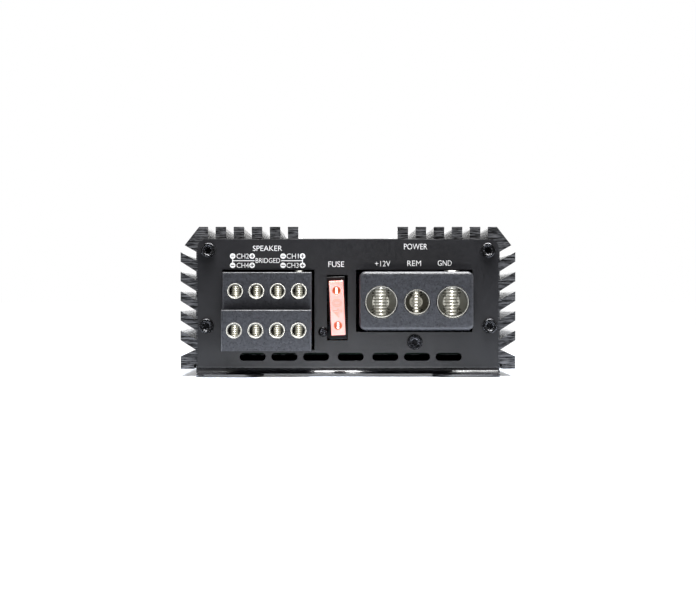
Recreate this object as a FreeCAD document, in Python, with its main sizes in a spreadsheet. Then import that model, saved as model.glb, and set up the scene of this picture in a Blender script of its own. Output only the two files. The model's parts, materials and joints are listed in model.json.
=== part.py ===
import FreeCAD, Part

import math
import os
import re

import Sketcher

# A compact four-channel car amplifier, in millimetres.
# The frame: +X to the right and +Z up as seen from the terminal end, which faces -Y.
# The origin is the centre of the four mounting holes, on the plane that the bottom plate rests on.

SIZES = {
    # heatsink extrusion
    "case_length": (188.0, "length of the heatsink"),
    "wall_half": (53.5, "half the width over the side walls, at the bottom of the side grooves"),
    "wall_thick": (3.0, "side walls and roof"),
    "roof_top": (48.4, "top of the roof, at the bottom of the top grooves"),
    "tip_half": (59.0, "half the width over the side fins"),
    "fin_top": (52.6, "top of the top fins"),
    "fin_width": (3.74, "thickness of a top fin"),
    "fin_pitch": (6.37, "top fin spacing"),
    "fin_first": (17.46, "inner face of the innermost top fin"),
    "corner_flat": (52.5, "outer end of the corner fin's flat top"),
    "corner_tip": (57.6, "corner fin's outermost point"),
    "corner_tip_high": (46.1, "height of that point"),
    "corner_root_high": (43.8, "where the corner fin's underside meets the wall"),
    "side_tip_high": (43.7, "upper corner of the highest side fin's tip"),
    "side_pitch": (6.93, "side fin spacing"),
    "side_tip_tall": (3.35, "height of a side fin's tip"),
    "side_drop_top": (3.05, "fall of a side fin's upper face from tip to root"),
    "side_drop_low": (3.5, "fall of its lower face"),
    "root_bury": (1.0, "how far a fin's outline runs into the wall"),
    "foot_low": (2.5, "underside of the foot rail"),
    "foot_top": (7.0, "outer height of the foot rail"),
    "foot_root": (9.15, "inner height of the foot rail"),
    "foot_root_half": (54.1, "where the foot rail meets the lowest side fin"),
    "foot_groove": (0.8, "width of the groove between wall and foot rail"),
    "foot_groove_top": (4.1, "top of that groove"),
    "top_bolt_half": (49.2, "upper plate screws, from the centre"),
    "top_bolt_high": (44.3, "their height"),
    "mid_bolt_half": (49.85, "lower plate screws, from the centre"),
    "mid_bolt_high": (17.65, "their height"),
    "channel_radius": (2.8, "outside of a screw channel"),
    "tap_radius": (1.25, "tapping hole of an M3 screw"),
    "rail_half": (46.5, "inner edge of the board rails"),
    "rail_thick": (3.0, "board rail"),
    "ledge_half": (44.5, "inner edge of the ledges that take the bottom screws"),
    "ledge_top": (6.0, "top of those ledges"),
    "ledge_access": (2.0, "hole in a ledge that lets a board screw through"),
    # end plates
    "plate_thick": (1.0, "steel end plate"),
    "plate_half": (52.9, "half the end plate's width"),
    "plate_top": (48.1, "height of the end plate"),
    "plate_corner": (2.6, "its upper corners"),
    "bend_radius": (2.0, "inside of the bend at its foot"),
    "foot_out": (3.5, "foot, out from the plate's face between the tabs"),
    "tab_reach": (11.0, "mounting tab, out from the plate's face"),
    "tab_in": (34.0, "inner corner of a tab's outer edge"),
    "tab_root": (29.5, "where the tab grows out of the foot"),
    "tab_corner": (3.0, "a tab's outer corners"),
    "mount_half": (48.0, "mounting holes, from the centre"),
    "mount_reach": (6.0, "mounting holes, out from the plate's face"),
    "mount_radius": (2.25, "mounting hole"),
    "screw_clear": (1.7, "clearance hole of an M3 screw"),
    "vent_long": (9.2, "vent slot, end to end"),
    "vent_tall": (2.85, "vent slot height"),
    "vent_high": (6.8, "height of the vent row"),
    "vent_pitch": (11.15, "vent slot spacing"),
    "vent_gap": (12.2, "spacing on each side of the middle slot"),
    "vent_middle": (0.95, "middle slot"),
    # bottom plate
    "floor_thick": (1.0, "steel bottom plate"),
    "floor_half": (53.0, "half the bottom plate's width"),
    "floor_screw_x": (47.5, "bottom screws, from the centre"),
    "floor_screw_in": (6.0, "bottom screws, in from the ends of the case"),
    "floor_hole": (1.6, "hole for a bottom screw"),
    "floor_sink": (0.95, "its countersink"),
    # circuit board
    "board_low": (7.6, "underside of the circuit board"),
    "board_thick": (1.6, "circuit board"),
    "board_half": (50.0, "half its width"),
    "board_half_long": (93.0, "half its length"),
    "board_hole": (1.1, "hole for a board screw"),
    "board_screw_x": (48.4, "board screws, from the centre"),
    "board_screw_pitch": (62.0, "board screw spacing"),
    "tail_out": (0.4, "terminal tails, below the board"),
    "tail_thick": (0.8, "terminal tail"),
    "tail_slot": (0.6, "half a tail slot's width in the board"),
    "tail_side": (1.5, "speaker tails, sideways from the terminal"),
    "tail_wide": (1.2, "speaker tail"),
    # speaker terminals
    "spk_left": (-43.8, "speaker block, left side"),
    "spk_right": (-12.7, "right side"),
    "spk_split": (23.4, "top of its lower tier"),
    "spk_top": (36.5, "top of its upper tier"),
    "spk_high_out": (7.0, "upper tier, out from the end plate"),
    "spk_low_out": (14.0, "lower tier, out from the end plate"),
    "spk_in": (6.2, "block, behind the plate's face"),
    "spk_edge": (0.5, "rounding of its front edges"),
    "spk_first": (-39.35, "first terminal"),
    "spk_pitch": (7.4, "terminal spacing"),
    "spk_high_z": (29.9, "upper terminals"),
    "spk_low_z": (16.3, "lower terminals"),
    "spk_bore": (2.1, "wire bore radius"),
    "spk_nose": (2.7, "radius of the metal nose around the bore"),
    "spk_depth": (4.6, "wire bore depth, to the clamp screw's axis"),
    "spk_minor": (1.72, "clamp thread, inner radius"),
    "spk_major": (2.02, "clamp thread, outer radius"),
    "spk_lead": (0.7, "clamp thread pitch"),
    "spk_wide": (6.0, "contact block width"),
    "spk_under": (3.5, "contact block, below the bore's axis"),
    "spk_over": (5.0, "contact block, above the bore's axis"),
    "spk_high_back": (9.4, "upper contact, behind the screw's axis"),
    "spk_low_back": (16.3, "lower contact, behind the screw's axis"),
    "spk_screw": (4.0, "clamp screw length"),
    # power terminals
    "pwr_left": (3.9, "power block, left side"),
    "pwr_right": (43.3, "right side"),
    "pwr_low": (16.3, "bottom"),
    "pwr_top": (36.7, "top"),
    "pwr_out": (12.0, "power block, out from the end plate"),
    "pwr_in": (9.0, "block, behind the plate's face"),
    "pwr_round": (2.2, "its long corners"),
    "pwr_edge": (1.3, "rounding of its front edge"),
    "pwr_leg": (12.0, "width of the legs that stand on the board"),
    "pwr_leg_in": (3.0, "legs, in from the block's sides"),
    "pwr_first": (11.4, "positive terminal"),
    "pwr_pitch": (12.35, "terminal spacing"),
    "pwr_z": (26.1, "height of the terminals"),
    "pwr_bore": (5.05, "wire bore radius"),
    "pwr_nose": (5.45, "radius of the metal nose"),
    "pwr_depth": (5.9, "wire bore depth"),
    "pwr_minor": (2.9, "clamp thread, inner radius"),
    "pwr_major": (3.5, "clamp thread, outer radius"),
    "pwr_lead": (1.15, "clamp thread pitch"),
    "pwr_wide": (11.5, "contact block width"),
    "pwr_tail": (6.0, "contact tail width"),
    "pwr_under": (6.4, "contact block, below the bore's axis"),
    "pwr_over": (8.0, "contact block, above the bore's axis"),
    "pwr_back": (15.2, "contact block, behind the screw's axis"),
    "pwr_screw": (5.0, "clamp screw length"),
    "rem_bore": (3.95, "remote terminal's wire bore radius"),
    "rem_nose": (4.3, "radius of its metal nose"),
    "rem_minor": (1.95, "its clamp thread, inner radius"),
    "rem_major": (2.4, "its clamp thread, outer radius"),
    "rem_lead": (1.0, "its clamp thread pitch"),
    "rem_wide": (9.2, "its contact block's width"),
    "rem_tail": (3.0, "its tail width"),
    "nose_out": (1.2, "metal nose, ahead of the contact block"),
    "bore_cone": (0.42, "depth of the cone at the end of a wire bore, as a share of its radius"),
    "mouth_bevel": (0.35, "bevel around the power block's openings"),
    "thread_past": (0.5, "clamp thread, past the far side of the bore"),
    # fuse, its holder and the ground bracket's screw
    "fuse_x": (-3.8, "fuse, from the centre"),
    "fuse_z": (24.0, "its height"),
    "fuse_tilt": (2.6, "how far the fuse and its holder lean, in degrees"),
    "fuse_long": (19.1, "blade fuse, long side"),
    "fuse_thick": (5.1, "short side"),
    "fuse_out": (6.0, "fuse face, out from the end plate"),
    "fuse_head": (3.4, "depth of the fuse's wide head"),
    "fuse_tall": (12.2, "depth of its plastic body"),
    "fuse_blade": (7.0, "length of its blades beyond the body"),
    "fuse_wall": (1.2, "wall of its plastic body"),
    "fuse_edge": (0.35, "rounding of its face"),
    "blade_wide": (5.2, "blade width"),
    "blade_thick": (0.65, "blade thickness"),
    "blade_mid": (6.6, "blade centres, from the middle"),
    "eye_mid": (6.1, "test openings, from the middle"),
    "eye_radius": (1.4, "test opening"),
    "eye_deep": (0.8, "its depth"),
    "holder_long": (22.0, "fuse holder, long side"),
    "holder_wide": (6.1, "short side"),
    "holder_out": (2.6, "fuse holder, out from the end plate"),
    "holder_in": (17.0, "fuse holder, behind the plate's face"),
    "holder_edge": (0.35, "rounding of its face's short edges"),
    "ear_x": (-5.33, "holder screw, from the holder's middle"),
    "ear_z": (-8.17, "holder screw, from the holder's middle"),
    "ear_half": (2.5, "half the height of the holder's ear"),
    "ear_thick": (2.6, "its thickness"),
    "ear_hole": (0.95, "its screw hole"),
    "clip_thick": (0.5, "spring of a fuse clip"),
    "lug_x": (23.5, "ground bracket's screw, from the centre"),
    "lug_z": (12.0, "its height"),
    # input sockets
    "jack_first": (20.5, "inner input sockets, from the centre"),
    "jack_pitch": (15.0, "socket spacing"),
    "jack_low": (17.0, "height of the lower sockets"),
    "jack_out": (9.5, "socket sleeve, out from the end plate"),
    "jack_radius": (4.15, "sleeve"),
    "jack_root": (3.95, "sleeve, inside its housing"),
    "jack_wall": (0.55, "sleeve wall"),
    "jack_pin": (1.67, "centre contact"),
    "jack_pin_bore": (1.25, "its bore"),
    "jack_edge": (7.2, "housing, beyond the socket centres"),
    "jack_collar": (0.4, "collar around a sleeve"),
    # controls
    "knob_first": (5.5, "first control, from the centre"),
    "knob_pitch": (13.0, "control spacing"),
    "knob_z": (31.0, "height of the controls"),
    "knob_radius": (3.0, "control knob"),
    "knob_out": (5.0, "control knob, out from the end plate"),
    "knob_in": (3.9, "its shaft, behind the plate's face"),
    "knob_flute": (0.3, "radius of a grip flute"),
    "pot_half": (4.8, "half the width of a control's case"),
    "pot_deep": (7.0, "its depth"),
    "switch_first": (-1.0, "first switch"),
    "switch_pitch": (26.0, "switch spacing"),
    "switch_z": (16.5, "height of the switches"),
    "switch_long": (8.8, "slot in the end plate"),
    "switch_tall": (2.8, "slot height"),
    "switch_half": (6.0, "half the width of a switch case"),
    "slider_half": (1.7, "half the slider's width"),
    "slider_tall": (2.2, "slider height"),
    "slider_out": (2.6, "slider, out from the end plate"),
    "lamp_x": (-46.0, "indicator lamps"),
    "lamp_z": (33.0, "upper lamp"),
    "lamp_pitch": (6.5, "lamp spacing"),
    "lamp_radius": (1.5, "lamp lens"),
    "lamp_out": (1.2, "lens, out from the end plate"),
    # power stage
    "chip_half": (5.0, "half a transistor's width"),
    "chip_low": (23.0, "underside of its plastic body"),
    "chip_high": (32.0, "top of its plastic body"),
    "chip_tab": (38.2, "top of its metal tab"),
    "chip_thick": (4.5, "its thickness"),
    "chip_tab_thick": (1.3, "thickness of its tab"),
    "lead_pitch": (2.54, "lead spacing"),
    "lead_half": (0.4, "half a lead's width"),
    "pad_thick": (0.3, "insulating pad"),
    "bar_z": (31.7, "clamp bar and its screws"),
    "bar_half": (3.7, "half the bar's height"),
    "bar_thick": (3.0, "clamp bar"),
    "bar_half_long": (62.0, "half the bar's length"),
    "bar_pitch": (42.0, "bar screw spacing"),
    # wound parts and capacitors
    "core_outer": (17.0, "transformer core"),
    "core_inner": (9.0, "its hole"),
    "core_tall": (13.0, "its height"),
    "core_wrap": (2.0, "its winding"),
    "choke_outer": (6.5, "output inductor core"),
    "choke_inner": (3.6, "its hole"),
    "choke_tall": (7.0, "its height"),
    "choke_wrap": (1.2, "its winding"),
    "can_radius": (6.2, "capacitor"),
    "can_rim": (1.2, "rolled rim around its top"),
    "gap": (0.08, "clearance between pieces that slide or sit loosely"),
}

# Stations that several pieces share, as expressions on the sheet.
FACE = "(case_length / 2 + plate_thick)"
CASE_END = "(case_length / 2)"
INNER_WALL = "(wall_half - wall_thick)"
BOARD_TOP = "(board_low + board_thick)"

VENTS = (
    "vent_middle - vent_gap - 2 * vent_pitch",
    "vent_middle - vent_gap - vent_pitch",
    "vent_middle - vent_gap",
    "vent_middle",
    "vent_middle + vent_gap",
    "vent_middle + vent_gap + vent_pitch",
    "vent_middle + vent_gap + 2 * vent_pitch",
)
PLATE_BOLTS = (("top_bolt_half", "top_bolt_high"), ("mid_bolt_half", "mid_bolt_high"))
KNOBS = tuple(f"knob_first - {i} * knob_pitch" for i in range(4))
SWITCHES = tuple(f"switch_first - {i} * switch_pitch" for i in range(2))
LAMPS = tuple(f"lamp_z - {i} * lamp_pitch" for i in range(2))
JACKS = tuple(
    (f"jack_first + {i} * jack_pitch", f"jack_low + {k} * jack_pitch") for k in range(2) for i in range(2)
)
BOTH = (-1, 1)
BOARD_SCREWS = tuple((f"{s} * board_screw_x", f"{i} * board_screw_pitch") for s in BOTH for i in (-1, 0, 1))
FLOOR_SCREWS = tuple(
    (f"{s} * floor_screw_x", f"{e} * ({CASE_END} - floor_screw_in)") for s in BOTH for e in BOTH
)
BAR_SCREWS = tuple(f"{i} * bar_pitch" for i in (-1, 0, 1))

# Places on the board, where the exact spot doesn't matter.
TRANSFORMER_SPOT = (8, -28)
CHOKE_SPOTS = tuple((x, y) for x in (-33, -14) for y in (-66, -46))
INPUT_CAN_SPOTS = tuple((x, -68) for x in (8, 22, 36))
RAIL_CAN_SPOTS = tuple((x, y) for x in (-20, -2, 16) for y in (14, 30))
CHIP_SPOTS = (-55, -34, -21, -8, 8, 21, 34, 55)

WORD = re.compile(r"[a-z][a-z_]*")
PLANES = {"x": "YZ_Plane", "y": "XZ_Plane", "z": "XY_Plane"}

doc = FreeCAD.newDocument("car_amplifier")
sheet = doc.addObject("Spreadsheet::Sheet", "Sizes")
nodes = []


def fill_sheet():
    """One row for each driving dimension: what it is, then its value under its alias."""
    for row, (alias, (number, meaning)) in enumerate(SIZES.items(), start=1):
        sheet.set(f"A{row}", meaning)
        sheet.set(f"B{row}", str(number))
        sheet.setAlias(f"B{row}", alias)
    doc.recompute()


def bound(expression):
    """The expression with each size's name pointed at the sheet."""
    return WORD.sub(lambda w: f"Sizes.{w.group()}" if w.group() in SIZES else w.group(), str(expression))


def value(expression):
    """The expression's value, for code that needs a number."""
    return float(sheet.evalExpression(bound(expression)))


def ordered(*expressions):
    return sorted(expressions, key=value)


# ---- outlines: each coordinate and radius is an expression on the sheet ----


def pin_point(sketch, geometry, end, x, y):
    """Fixes one point of a sketch at two expressions."""
    for kind, expression in (("DistanceX", x), ("DistanceY", y)):
        rule = Sketcher.Constraint(kind, -1, 1, geometry, end, value(expression))
        index = sketch.addConstraint(rule)
        sketch.setExpression(f"Constraints[{index}]", bound(expression))


def pin_radius(sketch, geometry, radius):
    index = sketch.addConstraint(Sketcher.Constraint("Radius", geometry, value(radius)))
    sketch.setExpression(f"Constraints[{index}]", bound(radius))


def polygon(*points):
    def draw(sketch):
        flat = [FreeCAD.Vector(value(x), value(y), 0) for x, y in points]
        ends = flat[1:] + flat[:1]
        lines = [sketch.addGeometry(Part.LineSegment(a, b)) for a, b in zip(flat, ends)]
        for line, following in zip(lines, lines[1:] + lines[:1]):
            sketch.addConstraint(Sketcher.Constraint("Coincident", line, 2, following, 1))
        for line, (x, y) in zip(lines, points):
            pin_point(sketch, line, 1, x, y)

    return draw


def rectangle(x0, x1, y0, y1):
    return polygon((x0, y0), (x1, y0), (x1, y1), (x0, y1))


def centred(x, half, y0, y1):
    """A rectangle centred on x."""
    return rectangle(f"({x}) - ({half})", f"({x}) + ({half})", y0, y1)


def circle(x, y, radius):
    def draw(sketch):
        centre = FreeCAD.Vector(value(x), value(y), 0)
        ring = sketch.addGeometry(Part.Circle(centre, FreeCAD.Vector(0, 0, 1), value(radius)))
        pin_point(sketch, ring, 3, x, y)
        pin_radius(sketch, ring, radius)

    return draw


def slot(x, y, long, tall):
    """A level slot with round ends, long from end to end."""
    reach, radius = f"({long} - {tall}) / 2", f"{tall} / 2"

    def line(sketch, start, stop, height):
        ends = [value(x) + side * value(reach) for side in (start, stop)]
        points = [FreeCAD.Vector(end, value(y) + height, 0) for end in ends]
        return sketch.addGeometry(Part.LineSegment(*points))

    def cap(sketch, side):
        centre = FreeCAD.Vector(value(x) + side * value(reach), value(y), 0)
        ring = Part.Circle(centre, FreeCAD.Vector(0, 0, 1), value(radius))
        start = -side * math.pi / 2
        return sketch.addGeometry(Part.ArcOfCircle(ring, start, start + math.pi))

    def draw(sketch):
        right = cap(sketch, 1)
        top = line(sketch, 1, -1, value(radius))
        left = cap(sketch, -1)
        low = line(sketch, -1, 1, -value(radius))
        for first, second in ((right, top), (top, left), (left, low), (low, right)):
            sketch.addConstraint(Sketcher.Constraint("Tangent", first, 2, second, 1))
        sketch.addConstraint(Sketcher.Constraint("Equal", right, left))
        pin_point(sketch, right, 3, f"{x} + {reach}", y)
        pin_point(sketch, left, 3, f"{x} - {reach}", y)
        pin_radius(sketch, right, radius)

    return draw


# ---- features ----


def new_body(label):
    body = doc.addObject("PartDesign::Body", "Body")
    body.Label = label
    body.AllowCompound = True
    return body


def origin_plane(body, role):
    return next(feature for feature in body.Origin.OriginFeatures if feature.Role == role)


def sketch_on(body, role, offset, outlines):
    sketch = body.newObject("Sketcher::SketchObject", "Outline")
    sketch.AttachmentSupport = (origin_plane(body, role), [""])
    sketch.MapMode = "FlatFace"
    sketch.setExpression("AttachmentOffset.Base.z", bound(offset))
    for outline in outlines:
        outline(sketch)
    return sketch


def extrude(body, kind, axis, low, high, outlines):
    """A pad or pocket of the outlines between two stations along an axis."""
    removes = kind == "Pocket"
    before = body.Shape.Volume if removes else 0.0
    normal = -1 if axis == "y" else 1
    start = low if (normal > 0) != removes else high
    sketch = sketch_on(body, PLANES[axis], f"{normal} * ({start})", outlines)
    feature = body.newObject(f"PartDesign::{kind}", kind)
    feature.Profile = sketch
    feature.setExpression("Length", bound(f"({high}) - ({low})"))
    doc.recompute()
    if removes and body.Shape.Volume > before - 1e-6:
        raise ValueError(f"a cut in {body.Label} removes nothing")
    return feature


def solid(body, axis, low, high, *outlines):
    return extrude(body, "Pad", axis, low, high, outlines)


def cut(body, axis, low, high, *outlines):
    return extrude(body, "Pocket", axis, low, high, outlines)


def turn(body, outline, removes=False):
    """Revolves an outline, drawn as radius against height, about the body's own Z axis."""
    before = body.Shape.Volume if removes else 0.0
    sketch = sketch_on(body, "XZ_Plane", "0", [outline])
    feature = body.newObject("PartDesign::Groove" if removes else "PartDesign::Revolution", "Turned")
    feature.Profile = sketch
    feature.ReferenceAxis = (sketch, ["V_Axis"])
    feature.Angle = 360
    doc.recompute()
    if removes and body.Shape.Volume > before - 1e-6:
        raise ValueError(f"a groove in {body.Label} removes nothing")


def mirror_across(body, originals):
    """Repeats features on the other side of the body's YZ plane."""
    feature = body.newObject("PartDesign::Mirrored", "Mirrored")
    feature.Originals = originals
    feature.MirrorPlane = (origin_plane(body, "YZ_Plane"), [""])
    body.Tip = feature
    doc.recompute()


def ease(body, kind, amount, wanted):
    """Rounds or bevels the edges that the test picks."""
    base = body.Tip
    names = [f"Edge{i}" for i, edge in enumerate(base.Shape.Edges, start=1) if wanted(edge)]
    if not names:
        raise ValueError(f"no edge to ease on {body.Label}")
    feature = body.newObject(f"PartDesign::{kind}", kind)
    feature.Base = (base, names)
    feature.setExpression("Radius" if kind == "Fillet" else "Size", bound(amount))
    body.Tip = feature
    doc.recompute()


def runs_along(edge, axis):
    """True for a straight edge along X, Y or Z."""
    if edge.Curve.TypeId != "Part::GeomLine":
        return False
    step = edge.Vertexes[-1].Point - edge.Vertexes[0].Point
    return abs(abs(step["XYZ".index(axis)]) - edge.Length) < 1e-6


def lies_at(edge, **stations):
    """True if the edge's box is flat at each station, such as y=-95."""
    box = edge.BoundBox
    spans = {"x": (box.XMin, box.XMax), "y": (box.YMin, box.YMax), "z": (box.ZMin, box.ZMax)}
    return all(abs(end - at) < 1e-4 for axis, at in stations.items() for end in spans[axis])


def is_ring(edge, radius):
    return edge.Curve.TypeId == "Part::GeomCircle" and abs(edge.Curve.Radius - value(radius)) < 1e-3


def ring_of(count, reach):
    """Evenly spaced points around the centre, at an expression's distance from it."""
    turns = [k * 360 / count for k in range(count)]
    return [(f"{reach} * cos({a})", f"{reach} * sin({a})") for a in turns]


# ---- placing pieces ----

FACING = {
    "up": FreeCAD.Rotation(),
    "down": FreeCAD.Rotation(FreeCAD.Vector(1, 0, 0), 180),
    "front": FreeCAD.Rotation(FreeCAD.Vector(1, 0, 0), 90),
    "back": FreeCAD.Rotation(FreeCAD.Vector(1, 0, 0), -90),
    "left": FreeCAD.Rotation(FreeCAD.Vector(0, 1, 0), -90),
    "right": FreeCAD.Rotation(FreeCAD.Vector(0, 1, 0), 90),
}


def node(feature):
    """Marks a finished piece as one that is written out."""
    nodes.append(feature)
    return feature


def place(x, y, z, facing="up", spin=0.0):
    """A placement at three expressions; the piece's own +Z points the way that facing says."""
    own_turn = FreeCAD.Rotation(FreeCAD.Vector(0, 0, 1), spin)
    at = FreeCAD.Vector(value(x), value(y), value(z))
    return FreeCAD.Placement(at, FACING[facing].multiply(own_turn))


def put(body, x, y, z, facing="up", spin=0.0):
    """Stands a single piece in its place, bound to the sheet, and writes it out."""
    body.Placement = place(x, y, z, facing, spin)
    for axis, expression in zip("xyz", (x, y, z)):
        body.setExpression(f"Placement.Base.{axis}", bound(expression))
    return node(body)


def copies(label, pairs):
    """One node of several identical pieces, from pairs of a pattern body and a placement."""
    shapes = []
    for body, where in pairs:
        shape = body.Shape.copy()
        shape.Placement = where.multiply(shape.Placement)
        shapes += shape.Solids
    feature = doc.addObject("Part::Feature", "Pieces")
    feature.Shape = Part.makeCompound(shapes) if len(shapes) > 1 else shapes[0]
    feature.Label = label
    return node(feature)


# ---- case ----


def side_fin(step):
    high = f"(side_tip_high - {step} * side_pitch)"
    low = f"({high} - side_tip_tall)"
    return polygon(
        ("wall_half - root_bury", f"{high} - side_drop_top"),
        ("wall_half", f"{high} - side_drop_top"),
        ("tip_half", high),
        ("tip_half", low),
        ("wall_half", f"{low} - side_drop_low"),
        ("wall_half - root_bury", f"{low} - side_drop_low"),
    )


def corner_fin():
    inner = "fin_first + 5 * fin_pitch"
    return polygon(
        (inner, "roof_top - root_bury"),
        (inner, "fin_top"),
        ("corner_flat", "fin_top"),
        ("corner_tip", "corner_tip_high"),
        ("wall_half", "corner_root_high"),
        ("wall_half - root_bury", "corner_root_high"),
        ("wall_half - root_bury", "roof_top - root_bury"),
    )


def foot_rail():
    inner = "wall_half + foot_groove"
    return polygon(
        ("wall_half - root_bury", "foot_groove_top"),
        (inner, "foot_groove_top"),
        (inner, "foot_low"),
        ("tip_half", "foot_low"),
        ("tip_half", "foot_top"),
        ("foot_root_half", "foot_root"),
        ("wall_half - root_bury", "foot_root"),
    )


def arch():
    """The plain channel that the fins stand on."""
    ceiling = "roof_top - wall_thick"
    return polygon(
        ("-wall_half", "floor_thick"),
        ("-wall_half", "roof_top"),
        ("wall_half", "roof_top"),
        ("wall_half", "floor_thick"),
        (INNER_WALL, "floor_thick"),
        (INNER_WALL, ceiling),
        (f"-{INNER_WALL}", ceiling),
        (f"-{INNER_WALL}", "floor_thick"),
    )


def top_fin(step):
    inner = f"fin_first + {step} * fin_pitch"
    return rectangle(inner, f"{inner} + fin_width", "roof_top - root_bury", "fin_top")


def heatsink():
    body = new_body("heatsink")
    ends = (f"-{CASE_END}", CASE_END)
    solid(body, "y", *ends, arch())
    rail = rectangle("rail_half", "wall_half - root_bury", BOARD_TOP, f"{BOARD_TOP} + rail_thick")
    right_side = [solid(body, "y", *ends, *[top_fin(i) for i in range(5)])]
    ledge = rectangle("ledge_half", "wall_half - root_bury", "floor_thick", "ledge_top")
    right_side += [solid(body, "y", *ends, outline) for outline in (corner_fin(), foot_rail(), rail, ledge)]
    right_side += [solid(body, "y", *ends, circle(x, z, "channel_radius")) for x, z in PLATE_BOLTS]
    right_side += [solid(body, "y", *ends, side_fin(i)) for i in range(5)]
    mirror_across(body, right_side)
    cut(body, "y", *ends, *[circle(f"{s} * {x}", z, "tap_radius") for s in BOTH for x, z in PLATE_BOLTS])
    board_taps = [circle(x, y, "tap_radius") for x, y in BOARD_SCREWS]
    cut(body, "z", BOARD_TOP, f"{BOARD_TOP} + rail_thick", *board_taps)
    ledge_holes = [circle(x, y, "tap_radius") for x, y in FLOOR_SCREWS]
    ledge_holes += [circle(x, y, "ledge_access") for x, y in BOARD_SCREWS]
    cut(body, "z", "floor_thick", "ledge_top", *ledge_holes)
    bar_taps = [circle(y, "bar_z", "tap_radius") for y in BAR_SCREWS]
    cut(body, "x", INNER_WALL, "wall_half + root_bury", *bar_taps)
    cut(body, "x", "-wall_half - root_bury", f"-{INNER_WALL}", *bar_taps)
    return node(body)


def terminal_openings():
    vents = [slot(x, "vent_high", "vent_long", "vent_tall") for x in VENTS]
    return vents + [
        rectangle("spk_left - 0.5", "spk_right + 0.9", f"{BOARD_TOP} - 0.2", "spk_top + 1"),
        rectangle("pwr_left - 1.1", "pwr_right + 0.5", "pwr_low - 0.8", "pwr_top + 0.8"),
        rectangle("fuse_x - 3.6", "fuse_x + 3.7", "fuse_z - 11.4", "fuse_z + 11.6"),
        circle(*holder_screw_spot(), "1.15"),
        circle("lug_x", "lug_z", "screw_clear"),
    ]


def control_openings():
    shapes = [circle(x, z, "jack_radius + jack_collar + gap") for x, z in JACKS]
    shapes += [circle(x, "knob_z", "knob_radius + 0.5") for x in KNOBS]
    shapes += [slot(x, "switch_z", "switch_long", "switch_tall") for x in SWITCHES]
    shapes += [circle("lamp_x", z, "lamp_radius + gap") for z in LAMPS]
    return shapes


def mounting_tab(side, end):
    root, tip = f"{end} * ({FACE} + foot_out - 1)", f"{end} * ({FACE} + tab_reach)"
    return polygon(
        (f"{side} * plate_half", root),
        (f"{side} * plate_half", tip),
        (f"{side} * tab_in", tip),
        (f"{side} * tab_root", f"{end} * ({FACE} + foot_out)"),
        (f"{side} * tab_root", root),
    )


def end_plate(label, side, openings):
    """A plate bent outwards at its foot, with two mounting tabs; side is -1 at the terminals, 1 behind."""
    body = new_body(label)
    face, inner = f"{side} * {FACE}", f"{side} * {CASE_END}"
    toe, tip = f"{side} * ({FACE} + foot_out)", f"{side} * ({FACE} + tab_reach)"
    upright = ((inner, "0"), (inner, "plate_top"), (face, "plate_top"), (face, "plate_thick"))
    solid(body, "x", "-plate_half", "plate_half", polygon(*upright, (toe, "plate_thick"), (toe, "0")))
    bends = ((face, "plate_thick", "bend_radius"), (inner, "0", "bend_radius + plate_thick"))
    for y, z, radius in bends:
        ease(body, "Fillet", radius, lambda e: runs_along(e, "X") and lies_at(e, y=value(y), z=value(z)))
    ease(body, "Fillet", "plate_corner", lambda e: runs_along(e, "Y") and lies_at(e, z=value("plate_top")))
    solid(body, "z", "0", "plate_thick", *[mounting_tab(s, side) for s in BOTH])
    ease(body, "Fillet", "tab_corner", lambda e: runs_along(e, "Z") and lies_at(e, y=value(tip)))
    mount_y = f"{side} * ({FACE} + mount_reach)"
    cut(body, "z", "0", "plate_thick", *[circle(f"{s} * mount_half", mount_y, "mount_radius") for s in BOTH])
    bolt_holes = [circle(f"{s} * {x}", z, "screw_clear") for s in BOTH for x, z in PLATE_BOLTS]
    cut(body, "y", *ordered(face, inner), *bolt_holes, *openings)
    return node(body)


def bottom_plate():
    body = new_body("bottom_plate")
    sheet_outline = rectangle("-floor_half", "floor_half", f"-{CASE_END}", CASE_END)
    solid(body, "z", "0", "floor_thick", sheet_outline)
    cut(body, "z", "0", "floor_thick", *[circle(x, y, "floor_hole") for x, y in FLOOR_SCREWS])
    ease(body, "Chamfer", "floor_sink", lambda e: is_ring(e, "floor_hole") and lies_at(e, z=0.0))
    return node(body)


# ---- screws: each pattern stands head up, with the seat of its head at the origin ----


def headed_screw(label, head, head_tall, shank, length, ease_kind, ease_size):
    body = new_body(label)
    profile = ((0, -length), (shank, -length), (shank, 0), (head, 0), (head, head_tall), (0, head_tall))
    turn(body, polygon(*profile))
    ease(body, ease_kind, ease_size, lambda e: is_ring(e, head) and lies_at(e, z=head_tall))
    return body


def cut_cross(body, low, high, long, thin):
    cut(body, "z", low, high, centred(0, long, -thin, thin))
    cut(body, "z", low, high, centred(0, thin, -long, long))


def lobed_screw(label, length):
    """An M3 pan-head screw with a bevelled rim and a six-lobe recess in a bevelled mouth."""
    head, head_tall, floor = 2.65, 1.6, 0.4
    body = headed_screw(label, head, head_tall, 1.2, length, "Chamfer", 0.35)
    mouth, throat, mouth_deep = 1.8, 1.45, 0.35
    cone = ((0, head_tall), (mouth, head_tall), (throat, head_tall - mouth_deep), (0, head_tall - mouth_deep))
    turn(body, polygon(*cone), removes=True)
    cut(body, "z", floor, head_tall, circle(0, 0, 1.08))
    cut(body, "z", floor, head_tall, *[circle(x, y, 0.3) for x, y in ring_of(6, 1.12)])
    return body


def cross_screw(label):
    """An M2 pan-head screw with a cross recess."""
    head, head_tall = 1.7, 1.1
    body = headed_screw(label, head, head_tall, 0.9, 4.5, "Fillet", 0.6)
    cut_cross(body, 0.4, head_tall, 1.0, 0.24)
    return body


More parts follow.
